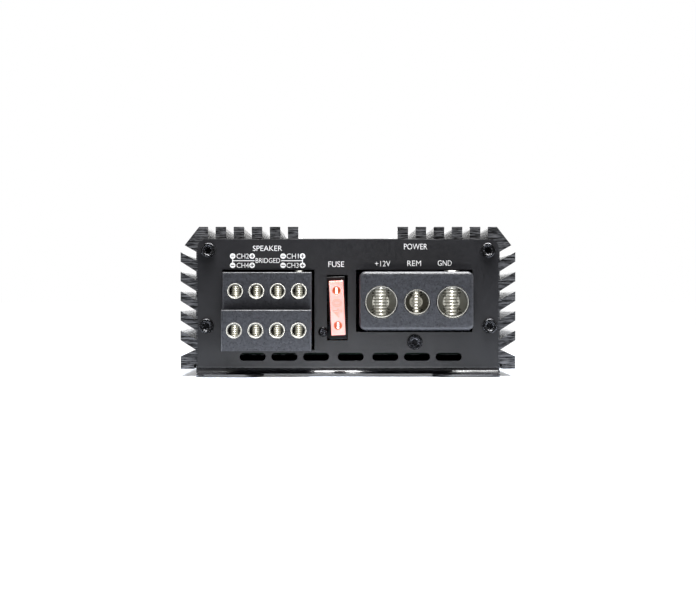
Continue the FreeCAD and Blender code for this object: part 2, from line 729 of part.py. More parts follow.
def flat_screw(label):
    """A countersunk M3 screw, its head just under the plate's surface."""
    body = new_body(label)
    flush, neck, tip = -0.02, -0.97, -5.0
    turn(body, polygon((0, tip), (1.2, tip), (1.2, neck), (1.52, neck), (2.45, flush), (0, flush)))
    cut_cross(body, -0.7, flush, 1.4, 0.3)
    return body


def holder_screw_spot():
    """Where the fuse holder's screw goes, as the holder leans: the X and Z of its axis."""
    x = "fuse_x + ear_x * cos(fuse_tilt) - ear_z * sin(fuse_tilt)"
    z = "fuse_z + ear_x * sin(fuse_tilt) + ear_z * cos(fuse_tilt)"
    return x, z


def screws():
    plate_screw = lobed_screw("plate_screw_pattern", 9)
    small_screw = cross_screw("board_screw_pattern")
    floor_screw = flat_screw("bottom_screw_pattern")
    for label, end, facing in (("front_plate_screws", -1, "front"), ("rear_plate_screws", 1, "back")):
        spots = [(f"{s} * {x}", f"{end} * {FACE}", z) for s in BOTH for x, z in PLATE_BOLTS]
        copies(label, [(plate_screw, place(*spot, facing, 37 * i)) for i, spot in enumerate(spots)])
    put(lobed_screw("ground_bracket_screw", 7), "lug_x", f"-{FACE}", "lug_z", "front", 30)
    x, z = holder_screw_spot()
    put(cross_screw("fuse_holder_screw"), x, f"-{FACE}", z, "front", 20)
    spots = enumerate(FLOOR_SCREWS)
    copies("bottom_plate_screws", [(floor_screw, place(*spot, "0", "down", 25 * i)) for i, spot in spots])
    spots = enumerate(BOARD_SCREWS)
    copies("board_screws", [(small_screw, place(*spot, "board_low", "down", 25 * i)) for i, spot in spots])


# ---- terminals ----


def ridges(minor, major, lead, low, high):
    """Half of a threaded bore or shank, as rings at the thread's pitch, closed on the axis."""
    land = 0.4
    turns = round((value(high) - value(low)) / value(lead))
    step = f"(({high}) - ({low})) / {turns}"
    points = [("0", low)]
    for k in range(turns):
        points.append((minor, f"{low} + {k} * {step}"))
        points.append((minor, f"{low} + {k + land} * {step}"))
        points.append((major, f"{low} + {k + (1 + land) / 2} * {step}"))
    points += [(minor, high), ("0", high)]
    return polygon(*points)


def contact(label, kind, size, back, tail_x, tail_wide, tail_low):
    """A plated brass terminal; its origin is where the wire bore's axis meets the clamp screw's."""
    body = new_body(label)
    under, over, depth = f"-{size}_under", f"{size}_over", f"{size}_depth"
    solid(body, "y", f"nose_out - 0.1 - {depth}", back, centred(0, f"{kind}_wide / 2", under, over))
    solid(body, "y", f"-{depth}", f"nose_out - {depth}", circle(0, 0, f"{kind}_nose"))
    drilled = f"({kind}_bore * bore_cone)"
    cut(body, "y", f"-{depth}", drilled, circle(0, 0, f"{kind}_bore"))
    ease(body, "Chamfer", drilled, lambda e: is_ring(e, f"{kind}_bore") and lies_at(e, y=value(drilled)))
    mouth = f"({kind}_nose - {kind}_bore) * 0.62"
    ease(body, "Chamfer", mouth, lambda e: is_ring(e, f"{kind}_bore") and lies_at(e, y=-value(depth)))
    thread = ridges(f"{kind}_minor", f"{kind}_major", f"{kind}_lead", f"-{kind}_bore - thread_past", over)
    turn(body, thread, removes=True)
    tail = centred(tail_x, f"{tail_wide} / 2", tail_low, f"{under} + 2")
    solid(body, "y", f"{back} - 0.01", f"{back} + tail_thick", tail)
    return body


def speaker_places():
    """Tier, X, Y and Z of each speaker terminal's origin."""
    for tier in ("high", "low"):
        y = f"spk_depth - {FACE} - spk_{tier}_out"
        for i in range(4):
            yield tier, f"spk_first + {i} * spk_pitch", y, f"spk_{tier}_z"


def power_places():
    """Name, size family, X, Y and Z of each power terminal's origin."""
    for i, (name, kind) in enumerate((("positive", "pwr"), ("remote", "rem"), ("ground", "pwr"))):
        yield name, kind, f"pwr_first + {i} * pwr_pitch", f"pwr_depth - {FACE} - pwr_out", "pwr_z"


def speaker_block():
    body = new_body("speaker_terminal_housing")
    high, low = f"(-{FACE} - spk_high_out)", f"(-{FACE} - spk_low_out)"
    back = f"(spk_in - {FACE})"
    steps = ((low, BOARD_TOP), (low, "spk_split"), (high, "spk_split"), (high, "spk_top"))
    solid(body, "x", "spk_left", "spk_right", polygon(*steps, (back, "spk_top"), (back, BOARD_TOP)))

    def front_edge(edge):
        on_front = lies_at(edge, y=value(low)) or lies_at(edge, y=value(high))
        inside_corner = lies_at(edge, y=value(high), z=value("spk_split"))
        return on_front and not inside_corner and edge.CenterOfMass.z > value(BOARD_TOP) + 1

    ease(body, "Fillet", "spk_edge", front_edge)
    columns = [f"spk_first + {i} * spk_pitch" for i in range(4)]
    for front, z, top in ((high, "spk_high_z", "spk_top"), (low, "spk_low_z", "spk_split")):
        heights = (f"{z} - spk_under - gap", f"{z} + spk_over + gap")
        rooms = [centred(x, "spk_wide / 2 + gap", *heights) for x in columns]
        cut(body, "y", f"{front} + nose_out - 0.1 - gap", back, *rooms)
        cut(body, "y", front, f"{front} + nose_out", *[circle(x, z, "spk_nose + gap / 2") for x in columns])
        access = [circle(x, f"{front} + spk_depth", "spk_major + 0.15") for x in columns]
        cut(body, "z", f"{z} + spk_over", top, *access)
    node(body)
    patterns = {}
    for tier, side in (("high", "tail_side"), ("low", "-tail_side")):
        tail_low = f"board_low - tail_out - spk_{tier}_z"
        back = f"spk_{tier}_back"
        patterns[tier] = contact(f"{tier}_contact_pattern", "spk", "spk", back, side, "tail_wide", tail_low)
    pairs = [(patterns[tier], place(*spot)) for tier, *spot in speaker_places()]
    copies("speaker_terminal_contacts", pairs)


def power_block():
    body = new_body("power_terminal_housing")
    front, back = f"(-{FACE} - pwr_out)", f"(pwr_in - {FACE})"
    solid(body, "y", front, back, rectangle("pwr_left", "pwr_right", "pwr_low", "pwr_top"))
    ease(body, "Fillet", "pwr_round", lambda e: runs_along(e, "Y"))
    ease(body, "Fillet", "pwr_edge", lambda e: lies_at(e, y=value(front)))
    legs = [
        rectangle("pwr_left + pwr_leg_in", "pwr_left + pwr_leg_in + pwr_leg", BOARD_TOP, "pwr_low + 3"),
        rectangle("pwr_right - pwr_leg_in - pwr_leg", "pwr_right - pwr_leg_in", BOARD_TOP, "pwr_low + 3"),
    ]
    skirt = rectangle("pwr_left + pwr_leg_in", "pwr_right - pwr_leg_in", "lug_z + 2", "pwr_low + 3")
    solid(body, "y", f"2.2 - {FACE}", back, *legs)
    solid(body, "y", f"2.2 - {FACE}", f"3.4 - {FACE}", skirt)
    for _, kind, x, y, z in power_places():
        room = centred(x, f"{kind}_wide / 2 + gap", f"{z} - pwr_under - gap", f"{z} + pwr_over + gap")
        cut(body, "y", f"{front} + nose_out - 0.1 - gap", back, room)
        cut(body, "y", front, f"{front} + nose_out", circle(x, z, f"{kind}_nose + gap / 2"))
        cut(body, "z", f"{z} + pwr_over", "pwr_top", circle(x, y, f"{kind}_major + 0.2"))

    def mouth(edge):
        rings = [is_ring(edge, f"{kind}_nose + gap / 2") for kind in ("pwr", "rem")]
        return any(rings) and lies_at(edge, y=value(front))

    ease(body, "Chamfer", "mouth_bevel", mouth)
    node(body)
    tail_low = "board_low - tail_out - pwr_z"
    large = contact("power_contact_pattern", "pwr", "pwr", "pwr_back", "0", "pwr_tail", tail_low)
    small = contact("remote_terminal_contact", "rem", "pwr", "pwr_back", "0", "rem_tail", tail_low)
    spots = {name: spot for name, _, *spot in power_places()}
    copies("power_terminal_contacts", [(large, place(*spots[name])) for name in ("positive", "ground")])
    put(small, *spots["remote"])


def clamp_screw(label, kind, length):
    """A socket set screw, standing on its tip at the origin."""
    body = new_body(label)
    crest = f"({kind}_minor - gap / 2)"
    root, tip_tall = f"({crest} - {kind}_lead * 0.22)", 0.4
    turn(body, ridges(root, crest, f"{kind}_lead", str(tip_tall), length))
    turn(body, polygon((0, 0), (f"{crest} * 0.6", 0), (root, tip_tall), (0, tip_tall)))
    cut(body, "z", f"{length} * 0.5", length, polygon(*ring_of(6, f"{crest} * 0.56")))
    return body


def clamp_screws():
    """Backed off, their tips just clear of the wire bores. Two stand a little proud of their block."""
    for i, (_, x, y, z) in enumerate(speaker_places(), start=1):
        rise = 1.0 if i == 4 else 0.1
        screw = clamp_screw(f"speaker_clamp_screw_{i}", "spk", "spk_screw")
        put(screw, x, y, f"{z} + spk_bore + {rise}", spin=37 * i)
    rises = {"positive": 0.1, "remote": 0.3, "ground": 0.9}
    for name, kind, x, y, z in power_places():
        screw = clamp_screw(f"{name}_clamp_screw", kind, "pwr_screw")
        put(screw, x, y, f"{z} + {kind}_bore + {rises[name]}", spin=20)


# ---- fuse and holder: each made upright about its own middle with its face at y = 0, then leaned ----


def put_leaning(body, out):
    lean = FreeCAD.Rotation(FreeCAD.Vector(0, 1, 0), -value("fuse_tilt"))
    body.Placement = FreeCAD.Placement(FreeCAD.Vector(), lean)
    for axis, expression in (("x", "fuse_x"), ("y", f"-{FACE} - {out}"), ("z", "fuse_z")):
        body.setExpression(f"Placement.Base.{axis}", bound(expression))
    return node(body)


def pair(mid, half_x, half_z):
    """Two rectangles, above and below the middle."""
    return [centred(0, half_x, f"{s} * {mid} - ({half_z})", f"{s} * {mid} + ({half_z})") for s in BOTH]


def fuse():
    plastic = new_body("fuse_body")
    half_l, half_t = "fuse_long / 2", "fuse_thick / 2"
    solid(plastic, "y", "0", "fuse_head", centred(0, half_t, f"-{half_l}", half_l))
    ease(plastic, "Fillet", "fuse_edge", lambda e: runs_along(e, "Y") or lies_at(e, y=0.0))
    lower = centred(0, f"{half_t} - 0.55", f"0.7 - {half_l}", f"{half_l} - 0.7")
    solid(plastic, "y", "fuse_head - 0.01", "fuse_tall", lower)
    rooms = pair("blade_mid", f"{half_t} - fuse_wall", "blade_wide / 2 + 0.2")
    cut(plastic, "y", "fuse_wall", "fuse_tall", *rooms)
    cut(plastic, "y", "fuse_head - 0.2", "fuse_tall", centred(0, 0.8, -5, 5))
    cut(plastic, "y", "0", "eye_deep", *[circle(0, f"{s} * eye_mid", "eye_radius") for s in BOTH])
    cut(plastic, "y", "eye_deep - 0.1", "fuse_wall + 0.1", *pair("eye_mid", 0.45, 1.05))
    put_leaning(plastic, "fuse_out")

    metal = new_body("fuse_element")
    half_b = "blade_thick / 2"
    solid(metal, "y", "1.45", "fuse_tall + fuse_blade", *pair("blade_mid", half_b, "blade_wide / 2"))
    solid(metal, "y", "0.6", "1.5", *pair("eye_mid", half_b, 0.9))
    link = ((3.6, -5), (5, -5), (5, -1), (9, 0), (9, 5), (7.6, 5), (7.6, 1), (3.6, 0))
    solid(metal, "x", f"-{half_b} * 0.6", f"{half_b} * 0.6", polygon(*link))
    put_leaning(metal, "fuse_out")


def fuse_holder():
    body = new_body("fuse_holder")
    half_l, half_w = "holder_long / 2", "holder_wide / 2"
    deep = "(holder_out + holder_in)"
    floor = "(fuse_tall - fuse_out + holder_out + gap)"
    solid(body, "y", "0", deep, centred(0, half_w, f"-{half_l}", half_l))
    ease(body, "Fillet", "holder_edge", lambda e: runs_along(e, "X") and lies_at(e, y=0.0))
    pocket = centred(0, "fuse_thick / 2 + gap", "-fuse_long / 2 - gap", "fuse_long / 2 + gap")
    cut(body, "y", "0", floor, pocket)
    cut(body, "y", f"{floor} - 0.01", deep, *pair("blade_mid", 1.3, "blade_wide / 2 + 0.3"))
    behind = "holder_out + plate_thick + 0.05"
    ear = rectangle("ear_x - 2", f"0.5 - {half_w}", "ear_z - ear_half", "ear_z + ear_half")
    solid(body, "y", behind, f"{behind} + ear_thick", ear)
    cut(body, "y", behind, f"{behind} + ear_thick", circle("ear_x", "ear_z", "ear_hole"))
    put_leaning(body, "holder_out")

    clips = new_body("fuse_clips")
    inner, outer = "(blade_thick / 2 + 0.02)", "(blade_thick / 2 + clip_thick)"
    spans = [ordered(f"{s} * {inner}", f"{s} * {outer}") for s in BOTH]
    heights = [(f"{s} * blade_mid - blade_wide / 2", f"{s} * blade_mid + blade_wide / 2") for s in BOTH]
    leaves = [rectangle(*span, *height) for span in spans for height in heights]
    solid(clips, "y", f"{floor} + 0.6", f"{deep} + 0.3", *leaves)
    webs = pair("blade_mid", outer, "blade_wide / 2")
    solid(clips, "y", f"{deep} + 0.25", f"{deep} + 0.25 + clip_thick", *webs)
    put_leaning(clips, "holder_out")


# ---- control end ----


def input_sockets():
    end, root = f"({FACE} + jack_out)", f"({FACE} - 7.8)"
    housing = new_body("input_socket_housing")
    front = f"({CASE_END} - 0.1)"
    nose = f"({FACE} + 1)"
    sides = ("jack_first - jack_edge", "jack_first + jack_pitch + jack_edge")
    block = rectangle(*sides, BOARD_TOP, "jack_low + jack_pitch + jack_edge")
    solid(housing, "y", f"{front} - 12", front, block)
    collars = [circle(x, z, "jack_radius + jack_collar") for x, z in JACKS]
    solid(housing, "y", f"{front} - 0.1", nose, *collars)
    cut(housing, "y", f"{root} - 0.1", nose, *[circle(x, z, "jack_root + gap") for x, z in JACKS])
    node(housing)

    sleeves = new_body("input_sleeves")
    solid(sleeves, "y", root, f"{nose} + 0.2", *[circle(x, z, "jack_root") for x, z in JACKS])
    solid(sleeves, "y", f"{nose} + 0.1", end, *[circle(x, z, "jack_radius") for x, z in JACKS])
    cut(sleeves, "y", root, end, *[circle(x, z, "jack_radius - jack_wall") for x, z in JACKS])
    ease(sleeves, "Chamfer", "0.25", lambda e: is_ring(e, "jack_radius") and lies_at(e, y=value(end)))
    node(sleeves)

    for label, row in (("right_input_inserts", JACKS[:2]), ("left_input_inserts", JACKS[2:])):
        inserts = new_body(label)
        depth = (f"{FACE} - 6", f"{end} - 0.35")
        solid(inserts, "y", *depth, *[circle(x, z, "jack_radius - jack_wall - gap") for x, z in row])
        cut(inserts, "y", *depth, *[circle(x, z, "jack_pin + gap") for x, z in row])
        node(inserts)

    pins = new_body("input_centre_contacts")
    solid(pins, "y", f"{FACE} - 7", f"{end} - 0.5", *[circle(x, z, "jack_pin") for x, z in JACKS])
    cut(pins, "y", f"{FACE} - 3", f"{end} - 0.5", *[circle(x, z, "jack_pin_bore") for x, z in JACKS])
    node(pins)


def knob(label, x):
    body = new_body(label)
    shape = (("0", "-knob_in"), ("knob_radius", "-knob_in"), ("knob_radius", "knob_out"), ("0", "knob_out"))
    turn(body, polygon(*shape))
    ease(body, "Fillet", "0.4", lambda e: lies_at(e, z=value("knob_out")))
    flutes = [circle(*spot, "knob_flute") for spot in ring_of(18, "knob_radius * 1.03")]
    cut(body, "z", "0.6", "knob_out", *flutes)
    cut(body, "z", "knob_out - 1", "knob_out", centred(0, 0.35, -1.2, 2.1))
    put(body, x, FACE, "knob_z", "back", 180)


def slider(label, x):
    body = new_body(label)
    half = "slider_tall / 2"
    solid(body, "y", "-plate_thick - 2.3", "slider_out", centred(0, "slider_half", f"-{half}", half))
    ease(body, "Fillet", "0.25", lambda e: lies_at(e, y=value("slider_out")))
    ribs = [centred(0.9 * k, 0.2, f"-{half}", half) for k in (-1, 0, 1)]
    cut(body, "y", "slider_out - 0.4", "slider_out", *ribs)
    put(body, x, FACE, "switch_z")


def lamp(label, height):
    body = new_body(label)
    shoulder = "-plate_thick - 0.1"
    base = ((0, -6), ("lamp_radius + 0.4", -6), ("lamp_radius + 0.4", shoulder), ("lamp_radius", shoulder))
    turn(body, polygon(*base, ("lamp_radius", "lamp_out"), (0, "lamp_out")))
    ease(body, "Fillet", "lamp_out - 0.1", lambda e: lies_at(e, z=value("lamp_out")))
    put(body, "lamp_x", FACE, height, "back")


def controls():
    behind = f"({CASE_END} - 0.3)"
    cases = new_body("control_cases")
    heights = ("knob_z - pot_half - 0.7", "knob_z + pot_half")
    solid(cases, "y", f"{behind} - pot_deep", behind, *[centred(x, "pot_half", *heights) for x in KNOBS])
    cut(cases, "y", f"{behind} - 2.7", behind, *[circle(x, "knob_z", "knob_radius + gap") for x in KNOBS])
    leads = [f"{x} + {k} * lead_pitch" for x in KNOBS for k in (-1, 0, 1)]
    stems = [centred(x, "lead_half", BOARD_TOP, "knob_z - pot_half") for x in leads]
    solid(cases, "y", f"{behind} - pot_deep + 0.3", f"{behind} - pot_deep + 1", *stems)
    node(cases)

    shells = new_body("switch_cases")
    boxes = [centred(x, "switch_half", BOARD_TOP, "switch_z + 3.2") for x in SWITCHES]
    solid(shells, "y", f"{behind} - 5.2", behind, *boxes)
    windows = [centred(x, "slider_half + 2.2", "switch_z - 1.2", "switch_z + 1.2") for x in SWITCHES]
    cut(shells, "y", f"{behind} - 2.4", behind, *windows)
    node(shells)

    for label, x in zip(("front_gain_knob", "rear_gain_knob", "highpass_knob", "lowpass_knob"), KNOBS):
        knob(label, x)
    for label, x in zip(("front_mode_slider", "rear_mode_slider"), SWITCHES):
        slider(label, x)
    for label, height in zip(("power_lamp", "protect_lamp"), LAMPS):
        lamp(label, height)


# ---- inside ----


def circuit_board():
    body = new_body("circuit_board")
    faces = ("board_low", BOARD_TOP)
    solid(body, "z", *faces, rectangle("-board_half", "board_half", "-board_half_long", "board_half_long"))
    cut(body, "z", *faces, *[circle(x, y, "board_hole") for x, y in BOARD_SCREWS])
    tails = []
    for tier, x, y, _ in speaker_places():
        side = "tail_side" if tier == "high" else "-tail_side"
        tails.append((f"{x} + {side}", "tail_wide / 2 + 0.15", f"{y} + spk_{tier}_back + tail_thick / 2"))
    for _, kind, x, y, _ in power_places():
        tails.append((x, f"{kind}_tail / 2 + 0.2", f"{y} + pwr_back + tail_thick / 2"))
    slots = [centred(x, half, f"{y} - tail_slot", f"{y} + tail_slot") for x, half, y in tails]
    cut(body, "z", *faces, *slots)
    return node(body)


def ground_bracket():
    """Ties the end plate to the board's ground."""
    body = new_body("ground_bracket")
    near, thick = f"(0.05 - {CASE_END})", "plate_thick"
    angle = (
        (near, BOARD_TOP),
        (near, "lug_z + 3"),
        (f"{near} + {thick}", "lug_z + 3"),
        (f"{near} + {thick}", f"{BOARD_TOP} + {thick}"),
        (f"{near} + 7", f"{BOARD_TOP} + {thick}"),
        (f"{near} + 7", BOARD_TOP),
    )
    solid(body, "x", "lug_x - 3.5", "lug_x + 3.5", polygon(*angle))
    cut(body, "y", near, f"{near} + {thick}", circle("lug_x", "lug_z", "tap_radius"))
    return node(body)


def toroids(label, family, spots):
    """Cores, and the windings that wrap them."""
    inner, outer, tall, wrap = (f"{family}_{part}" for part in ("inner", "outer", "tall", "wrap"))
    core = new_body(f"{label}_core_pattern")
    turn(core, rectangle(inner, outer, "0", tall))
    coil = new_body(f"{label}_winding_pattern")
    turn(coil, rectangle(f"{inner} - {wrap}", f"{outer} + {wrap}", f"-{wrap}", f"{tall} + {wrap}"))
    ease(coil, "Fillet", f"{wrap} * 0.9", lambda e: True)
    turn(coil, rectangle(f"{inner} - 0.05", f"{outer} + 0.05", "-0.05", f"{tall} + 0.05"), removes=True)
    seat = f"{BOARD_TOP} + {wrap} + 0.1"
    copies(f"{label}_cores", [(core, place(x, y, seat)) for x, y in spots])
    copies(f"{label}_windings", [(coil, place(x, y, seat)) for x, y in spots])


def capacitors(label, spots, tall):
    body = new_body(label)
    top = f"({BOARD_TOP} + {tall})"
    solid(body, "z", BOARD_TOP, top, *[circle(x, y, "can_radius") for x, y in spots])
    ease(body, "Fillet", "can_rim / 2", lambda e: lies_at(e, z=value(top)))
    cut(body, "z", f"{top} - 0.3", top, *[circle(x, y, "can_radius - can_rim") for x, y in spots])
    return node(body)


def transistor_pattern():
    """One transistor with its back on the plane x = 0."""
    body = new_body("transistor_pattern")
    solid(body, "x", "-chip_thick", "-chip_tab_thick", centred(0, "chip_half", "chip_low", "chip_high"))
    solid(body, "x", "-chip_tab_thick - 0.05", "0", centred(0, "chip_half", "chip_low", "chip_tab"))
    cut(body, "x", "-chip_tab_thick - 0.1", "0", circle(0, "chip_tab - 2.8", "1.8"))
    leads = [centred(f"{k} * lead_pitch", "lead_half", BOARD_TOP, "chip_low + 1") for k in (-1, 0, 1)]
    solid(body, "x", "0.1 - chip_thick", "0.7 - chip_thick", *leads)
    return body


def wall_strips(label, low, high, foot, top, hole):
    """One flat strip along each side wall, drilled for the bar screws."""
    body = new_body(label)
    spans = ((low, high), (f"-{high}", f"-{low}"))
    for span in spans:
        solid(body, "x", *span, centred(0, "bar_half_long", foot, top))
    for span in spans:
        cut(body, "x", *span, *[circle(y, "bar_z", hole) for y in BAR_SCREWS])
    return node(body)


def power_stage():
    """Transistors against an insulating pad on each side wall, held by a screwed bar."""
    chip = transistor_pattern()
    back = f"({INNER_WALL} - pad_thick - 0.04)"
    about = FreeCAD.Rotation(FreeCAD.Vector(0, 0, 1), 180)
    pairs = []
    for y in CHIP_SPOTS:
        pairs.append((chip, FreeCAD.Placement(FreeCAD.Vector(value(back), y, 0), FreeCAD.Rotation())))
        pairs.append((chip, FreeCAD.Placement(FreeCAD.Vector(-value(back), y, 0), about)))
    copies("power_transistors", pairs)

    near = f"({back} - chip_thick - 0.04)"
    far = f"({near} - bar_thick)"
    pad = (f"({INNER_WALL} - pad_thick - 0.02)", f"({INNER_WALL} - 0.02)")
    wall_strips("insulating_pads", *pad, "chip_low - 0.5", "chip_tab + 0.8", "2")
    wall_strips("clamp_bars", far, near, "bar_z - bar_half", "bar_z + bar_half", "screw_clear")
    bar_screw = lobed_screw("bar_screw_pattern", 10.5)
    pairs = [(bar_screw, place(far, y, "bar_z", "left")) for y in BAR_SCREWS]
    pairs += [(bar_screw, place(f"-{far}", y, "bar_z", "right")) for y in BAR_SCREWS]
    copies("clamp_bar_screws", pairs)


def build():
    fill_sheet()
    heatsink()
    end_plate("front_end_plate", -1, terminal_openings())
    end_plate("rear_end_plate", 1, control_openings())
    bottom_plate()
    screws()
    speaker_block()
    power_block()
    clamp_screws()
    fuse()
    fuse_holder()
    input_sockets()
    controls()
    circuit_board()
    ground_bracket()
    toroids("transformer", "core", [TRANSFORMER_SPOT])
    toroids("inductor", "choke", CHOKE_SPOTS)
    capacitors("input_capacitors", INPUT_CAN_SPOTS, 28)
    capacitors("rail_capacitors", RAIL_CAN_SPOTS, 24)
    power_stage()
    doc.recompute()


def check():
    for feature in doc.Objects:
        if any(word in ("Invalid", "Error") for word in feature.State):
            raise ValueError(f"{feature.Name} ({feature.Label}) failed: {feature.State}")
    for feature in nodes:
        shape = feature.Shape
        if shape.isNull() or not shape.isValid() or not shape.Solids:
            raise ValueError(f"{feature.Label} has no valid solid")


def export():
    os.makedirs("parts", exist_ok=True)
    for feature in nodes:
        feature.Shape.exportStep(os.path.join("parts", feature.Label + ".step"))


build()
check()
export()
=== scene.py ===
import json
import math

import bmesh
import bpy
from mathutils import Matrix, Vector


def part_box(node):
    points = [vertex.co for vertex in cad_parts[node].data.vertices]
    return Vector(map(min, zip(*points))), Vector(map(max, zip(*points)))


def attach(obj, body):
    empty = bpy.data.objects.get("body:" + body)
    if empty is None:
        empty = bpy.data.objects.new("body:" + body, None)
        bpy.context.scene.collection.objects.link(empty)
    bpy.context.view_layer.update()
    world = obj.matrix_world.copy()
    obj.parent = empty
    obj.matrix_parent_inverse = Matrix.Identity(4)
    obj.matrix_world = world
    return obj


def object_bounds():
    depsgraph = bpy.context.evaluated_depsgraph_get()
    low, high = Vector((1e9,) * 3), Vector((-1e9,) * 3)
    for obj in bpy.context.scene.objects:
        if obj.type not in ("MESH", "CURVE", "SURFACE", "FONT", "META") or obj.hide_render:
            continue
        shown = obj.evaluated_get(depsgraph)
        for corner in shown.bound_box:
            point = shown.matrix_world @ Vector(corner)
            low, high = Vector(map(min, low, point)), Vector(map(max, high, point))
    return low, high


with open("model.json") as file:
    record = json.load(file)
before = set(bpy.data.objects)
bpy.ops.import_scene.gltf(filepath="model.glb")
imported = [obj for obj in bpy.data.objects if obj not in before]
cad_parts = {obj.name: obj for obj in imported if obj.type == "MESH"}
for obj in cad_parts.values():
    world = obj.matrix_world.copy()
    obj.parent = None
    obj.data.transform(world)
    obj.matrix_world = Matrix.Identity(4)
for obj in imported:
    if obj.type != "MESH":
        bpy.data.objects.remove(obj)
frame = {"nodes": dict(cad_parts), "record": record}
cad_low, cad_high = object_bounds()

MM = 0.001
NODES = frame["nodes"]
SCENE = bpy.context.scene

# The end plates' outer faces: their screws' heads stand this far out of them.
HEAD_TALL = 1.6 * MM
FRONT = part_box("front_plate_screws")[0].y + HEAD_TALL
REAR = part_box("rear_plate_screws")[1].y - HEAD_TALL

# The floor lies just under the feet, so that the two never share a plane.
FLOOR = cad_low.z - 0.05 * MM

# The speaker block's upper tier: its height, and how far its face is set back from the lower one's.
UPPER_TIER_TALL = 13.1 * MM
UPPER_TIER_BACK = 7.0 * MM

# How far behind each terminal's face the painted highlight on its thread starts, and where it is brightest.
SMALL_PAINTED_GLOW = (5.75 * MM, 6.15 * MM)
MIDDLE_PAINTED_GLOW = (7.62 * MM, 7.74 * MM)
LARGE_PAINTED_GLOW = (8.08 * MM, 8.3 * MM)

# The fuse leans in its holder, and has two test openings on its face.
FUSE_LEAN = math.radians(2.6)
EYE_FROM_MIDDLE = 6.1 * MM
EYE_RADIUS = 1.4 * MM

# Text is made at this size, then scaled to its place; its print stands this far out on each side.
TEXT_SIZE = 3.0 * MM
PRINT_THICK = 0.015 * MM


# ---- shader graphs ----


class Graph:
    """One material's node tree. Texture coordinates are the piece's own, in metres."""

    def __init__(self, name):
        self.material = bpy.data.materials.new(name)
        self.material.use_nodes = True
        self.tree = self.material.node_tree
        self.tree.nodes.clear()
        self.place = self.node("TexCoord").outputs["Object"]

    def node(self, kind, inputs=None, **settings):
        made = self.tree.nodes.new("ShaderNode" + kind)
        for name, setting in settings.items():
            setattr(made, name, setting)
        for key, given in (inputs or {}).items():
            self.feed(made.inputs[key], given)
        return made

    def feed(self, socket, given):
        if isinstance(given, bpy.types.NodeSocket):
            self.tree.links.new(given, socket)
        elif socket.type == "RGBA":
            socket.default_value = (*given, 1.0)
        else:
            socket.default_value = given

    def maths(self, operation, a, b=0.0, clamp=False):
        return self.node("Math", {0: a, 1: b}, operation=operation, use_clamp=clamp).outputs[0]

    def noise(self, per_metre, detail=2.0, roughness=0.5, offset=0.0):
        """Grain with this many features to a metre along each axis."""
        shift = (offset, offset, offset)
        spot = self.node("Mapping", {"Vector": self.place, "Scale": per_metre, "Location": shift}).outputs[0]
        inputs = {"Vector": spot, "Scale": 1.0, "Detail": detail, "Roughness": roughness}
        return self.node("TexNoise", inputs).outputs["Fac"]

    def cells(self, per_metre):
        spot = self.node("Mapping", {"Vector": self.place, "Scale": per_metre}).outputs[0]
        return self.node("TexVoronoi", {"Vector": spot, "Scale": 1.0}).outputs["Distance"]

    def remap(self, amount, low, high, new_low=0.0, new_high=1.0):
        inputs = {"Value": amount, "From Min": low, "From Max": high, "To Min": new_low, "To Max": new_high}
        return self.node("MapRange", inputs).outputs["Result"]

    def blend(self, share, a, b):
        """Colour a where share is 0 and colour b where it is 1."""
        pick = self.node("Mix", {0: share}, data_type="RGBA")
        self.feed(pick.inputs[6], a)
        self.feed(pick.inputs[7], b)
        return pick.outputs[2]

    def between(self, share, a, b):
        """Number a where share is 0 and number b where it is 1."""
        return self.node("Mix", {0: share, 2: a, 3: b}).outputs[0]

    def split(self, vector):
        return self.node("SeparateXYZ", {0: vector}).outputs

    def facing(self, axis):
        """How squarely the surface faces along an axis of its own piece, 0 to 1."""
        normal = self.node("TexCoord").outputs["Normal"]
        return self.maths("ABSOLUTE", self.split(normal)["XYZ".index(axis)])

    def edge_wear_and_glint(self, radius):
        """Near 1 along edges, where a finish rubs through and where an edge highlight is painted."""
        rounded = self.node("Bevel", {"Radius": radius}, samples=4).outputs[0]
        true = self.node("NewGeometry").outputs["Normal"]
        along = self.node("VectorMath", {0: rounded, 1: true}, operation="DOT_PRODUCT").outputs["Value"]
        return self.remap(along, 0.995, 0.9)

    def openness(self, reach):
        """1 in the open, falling towards 0 in corners and recesses of about this size."""
        return self.node("AmbientOcclusion", {"Distance": reach}, samples=8).outputs["AO"]

    def bump(self, height, depth, strength=1.0):
        return self.node("Bump", {"Height": height, "Distance": depth, "Strength": strength}).outputs[0]

    def finish(self, **inputs):
        """Ends the graph in one Principled surface; argument names use _ for spaces."""
        named = {name.replace("_", " "): given for name, given in inputs.items()}
        surface = self.node("BsdfPrincipled", named)
        out = self.node("OutputMaterial")
        self.tree.links.new(surface.outputs[0], out.inputs[0])
        return self.material


def grey(level, blue=1.05):
    return (level, level, level * blue)


# ---- finishes ----


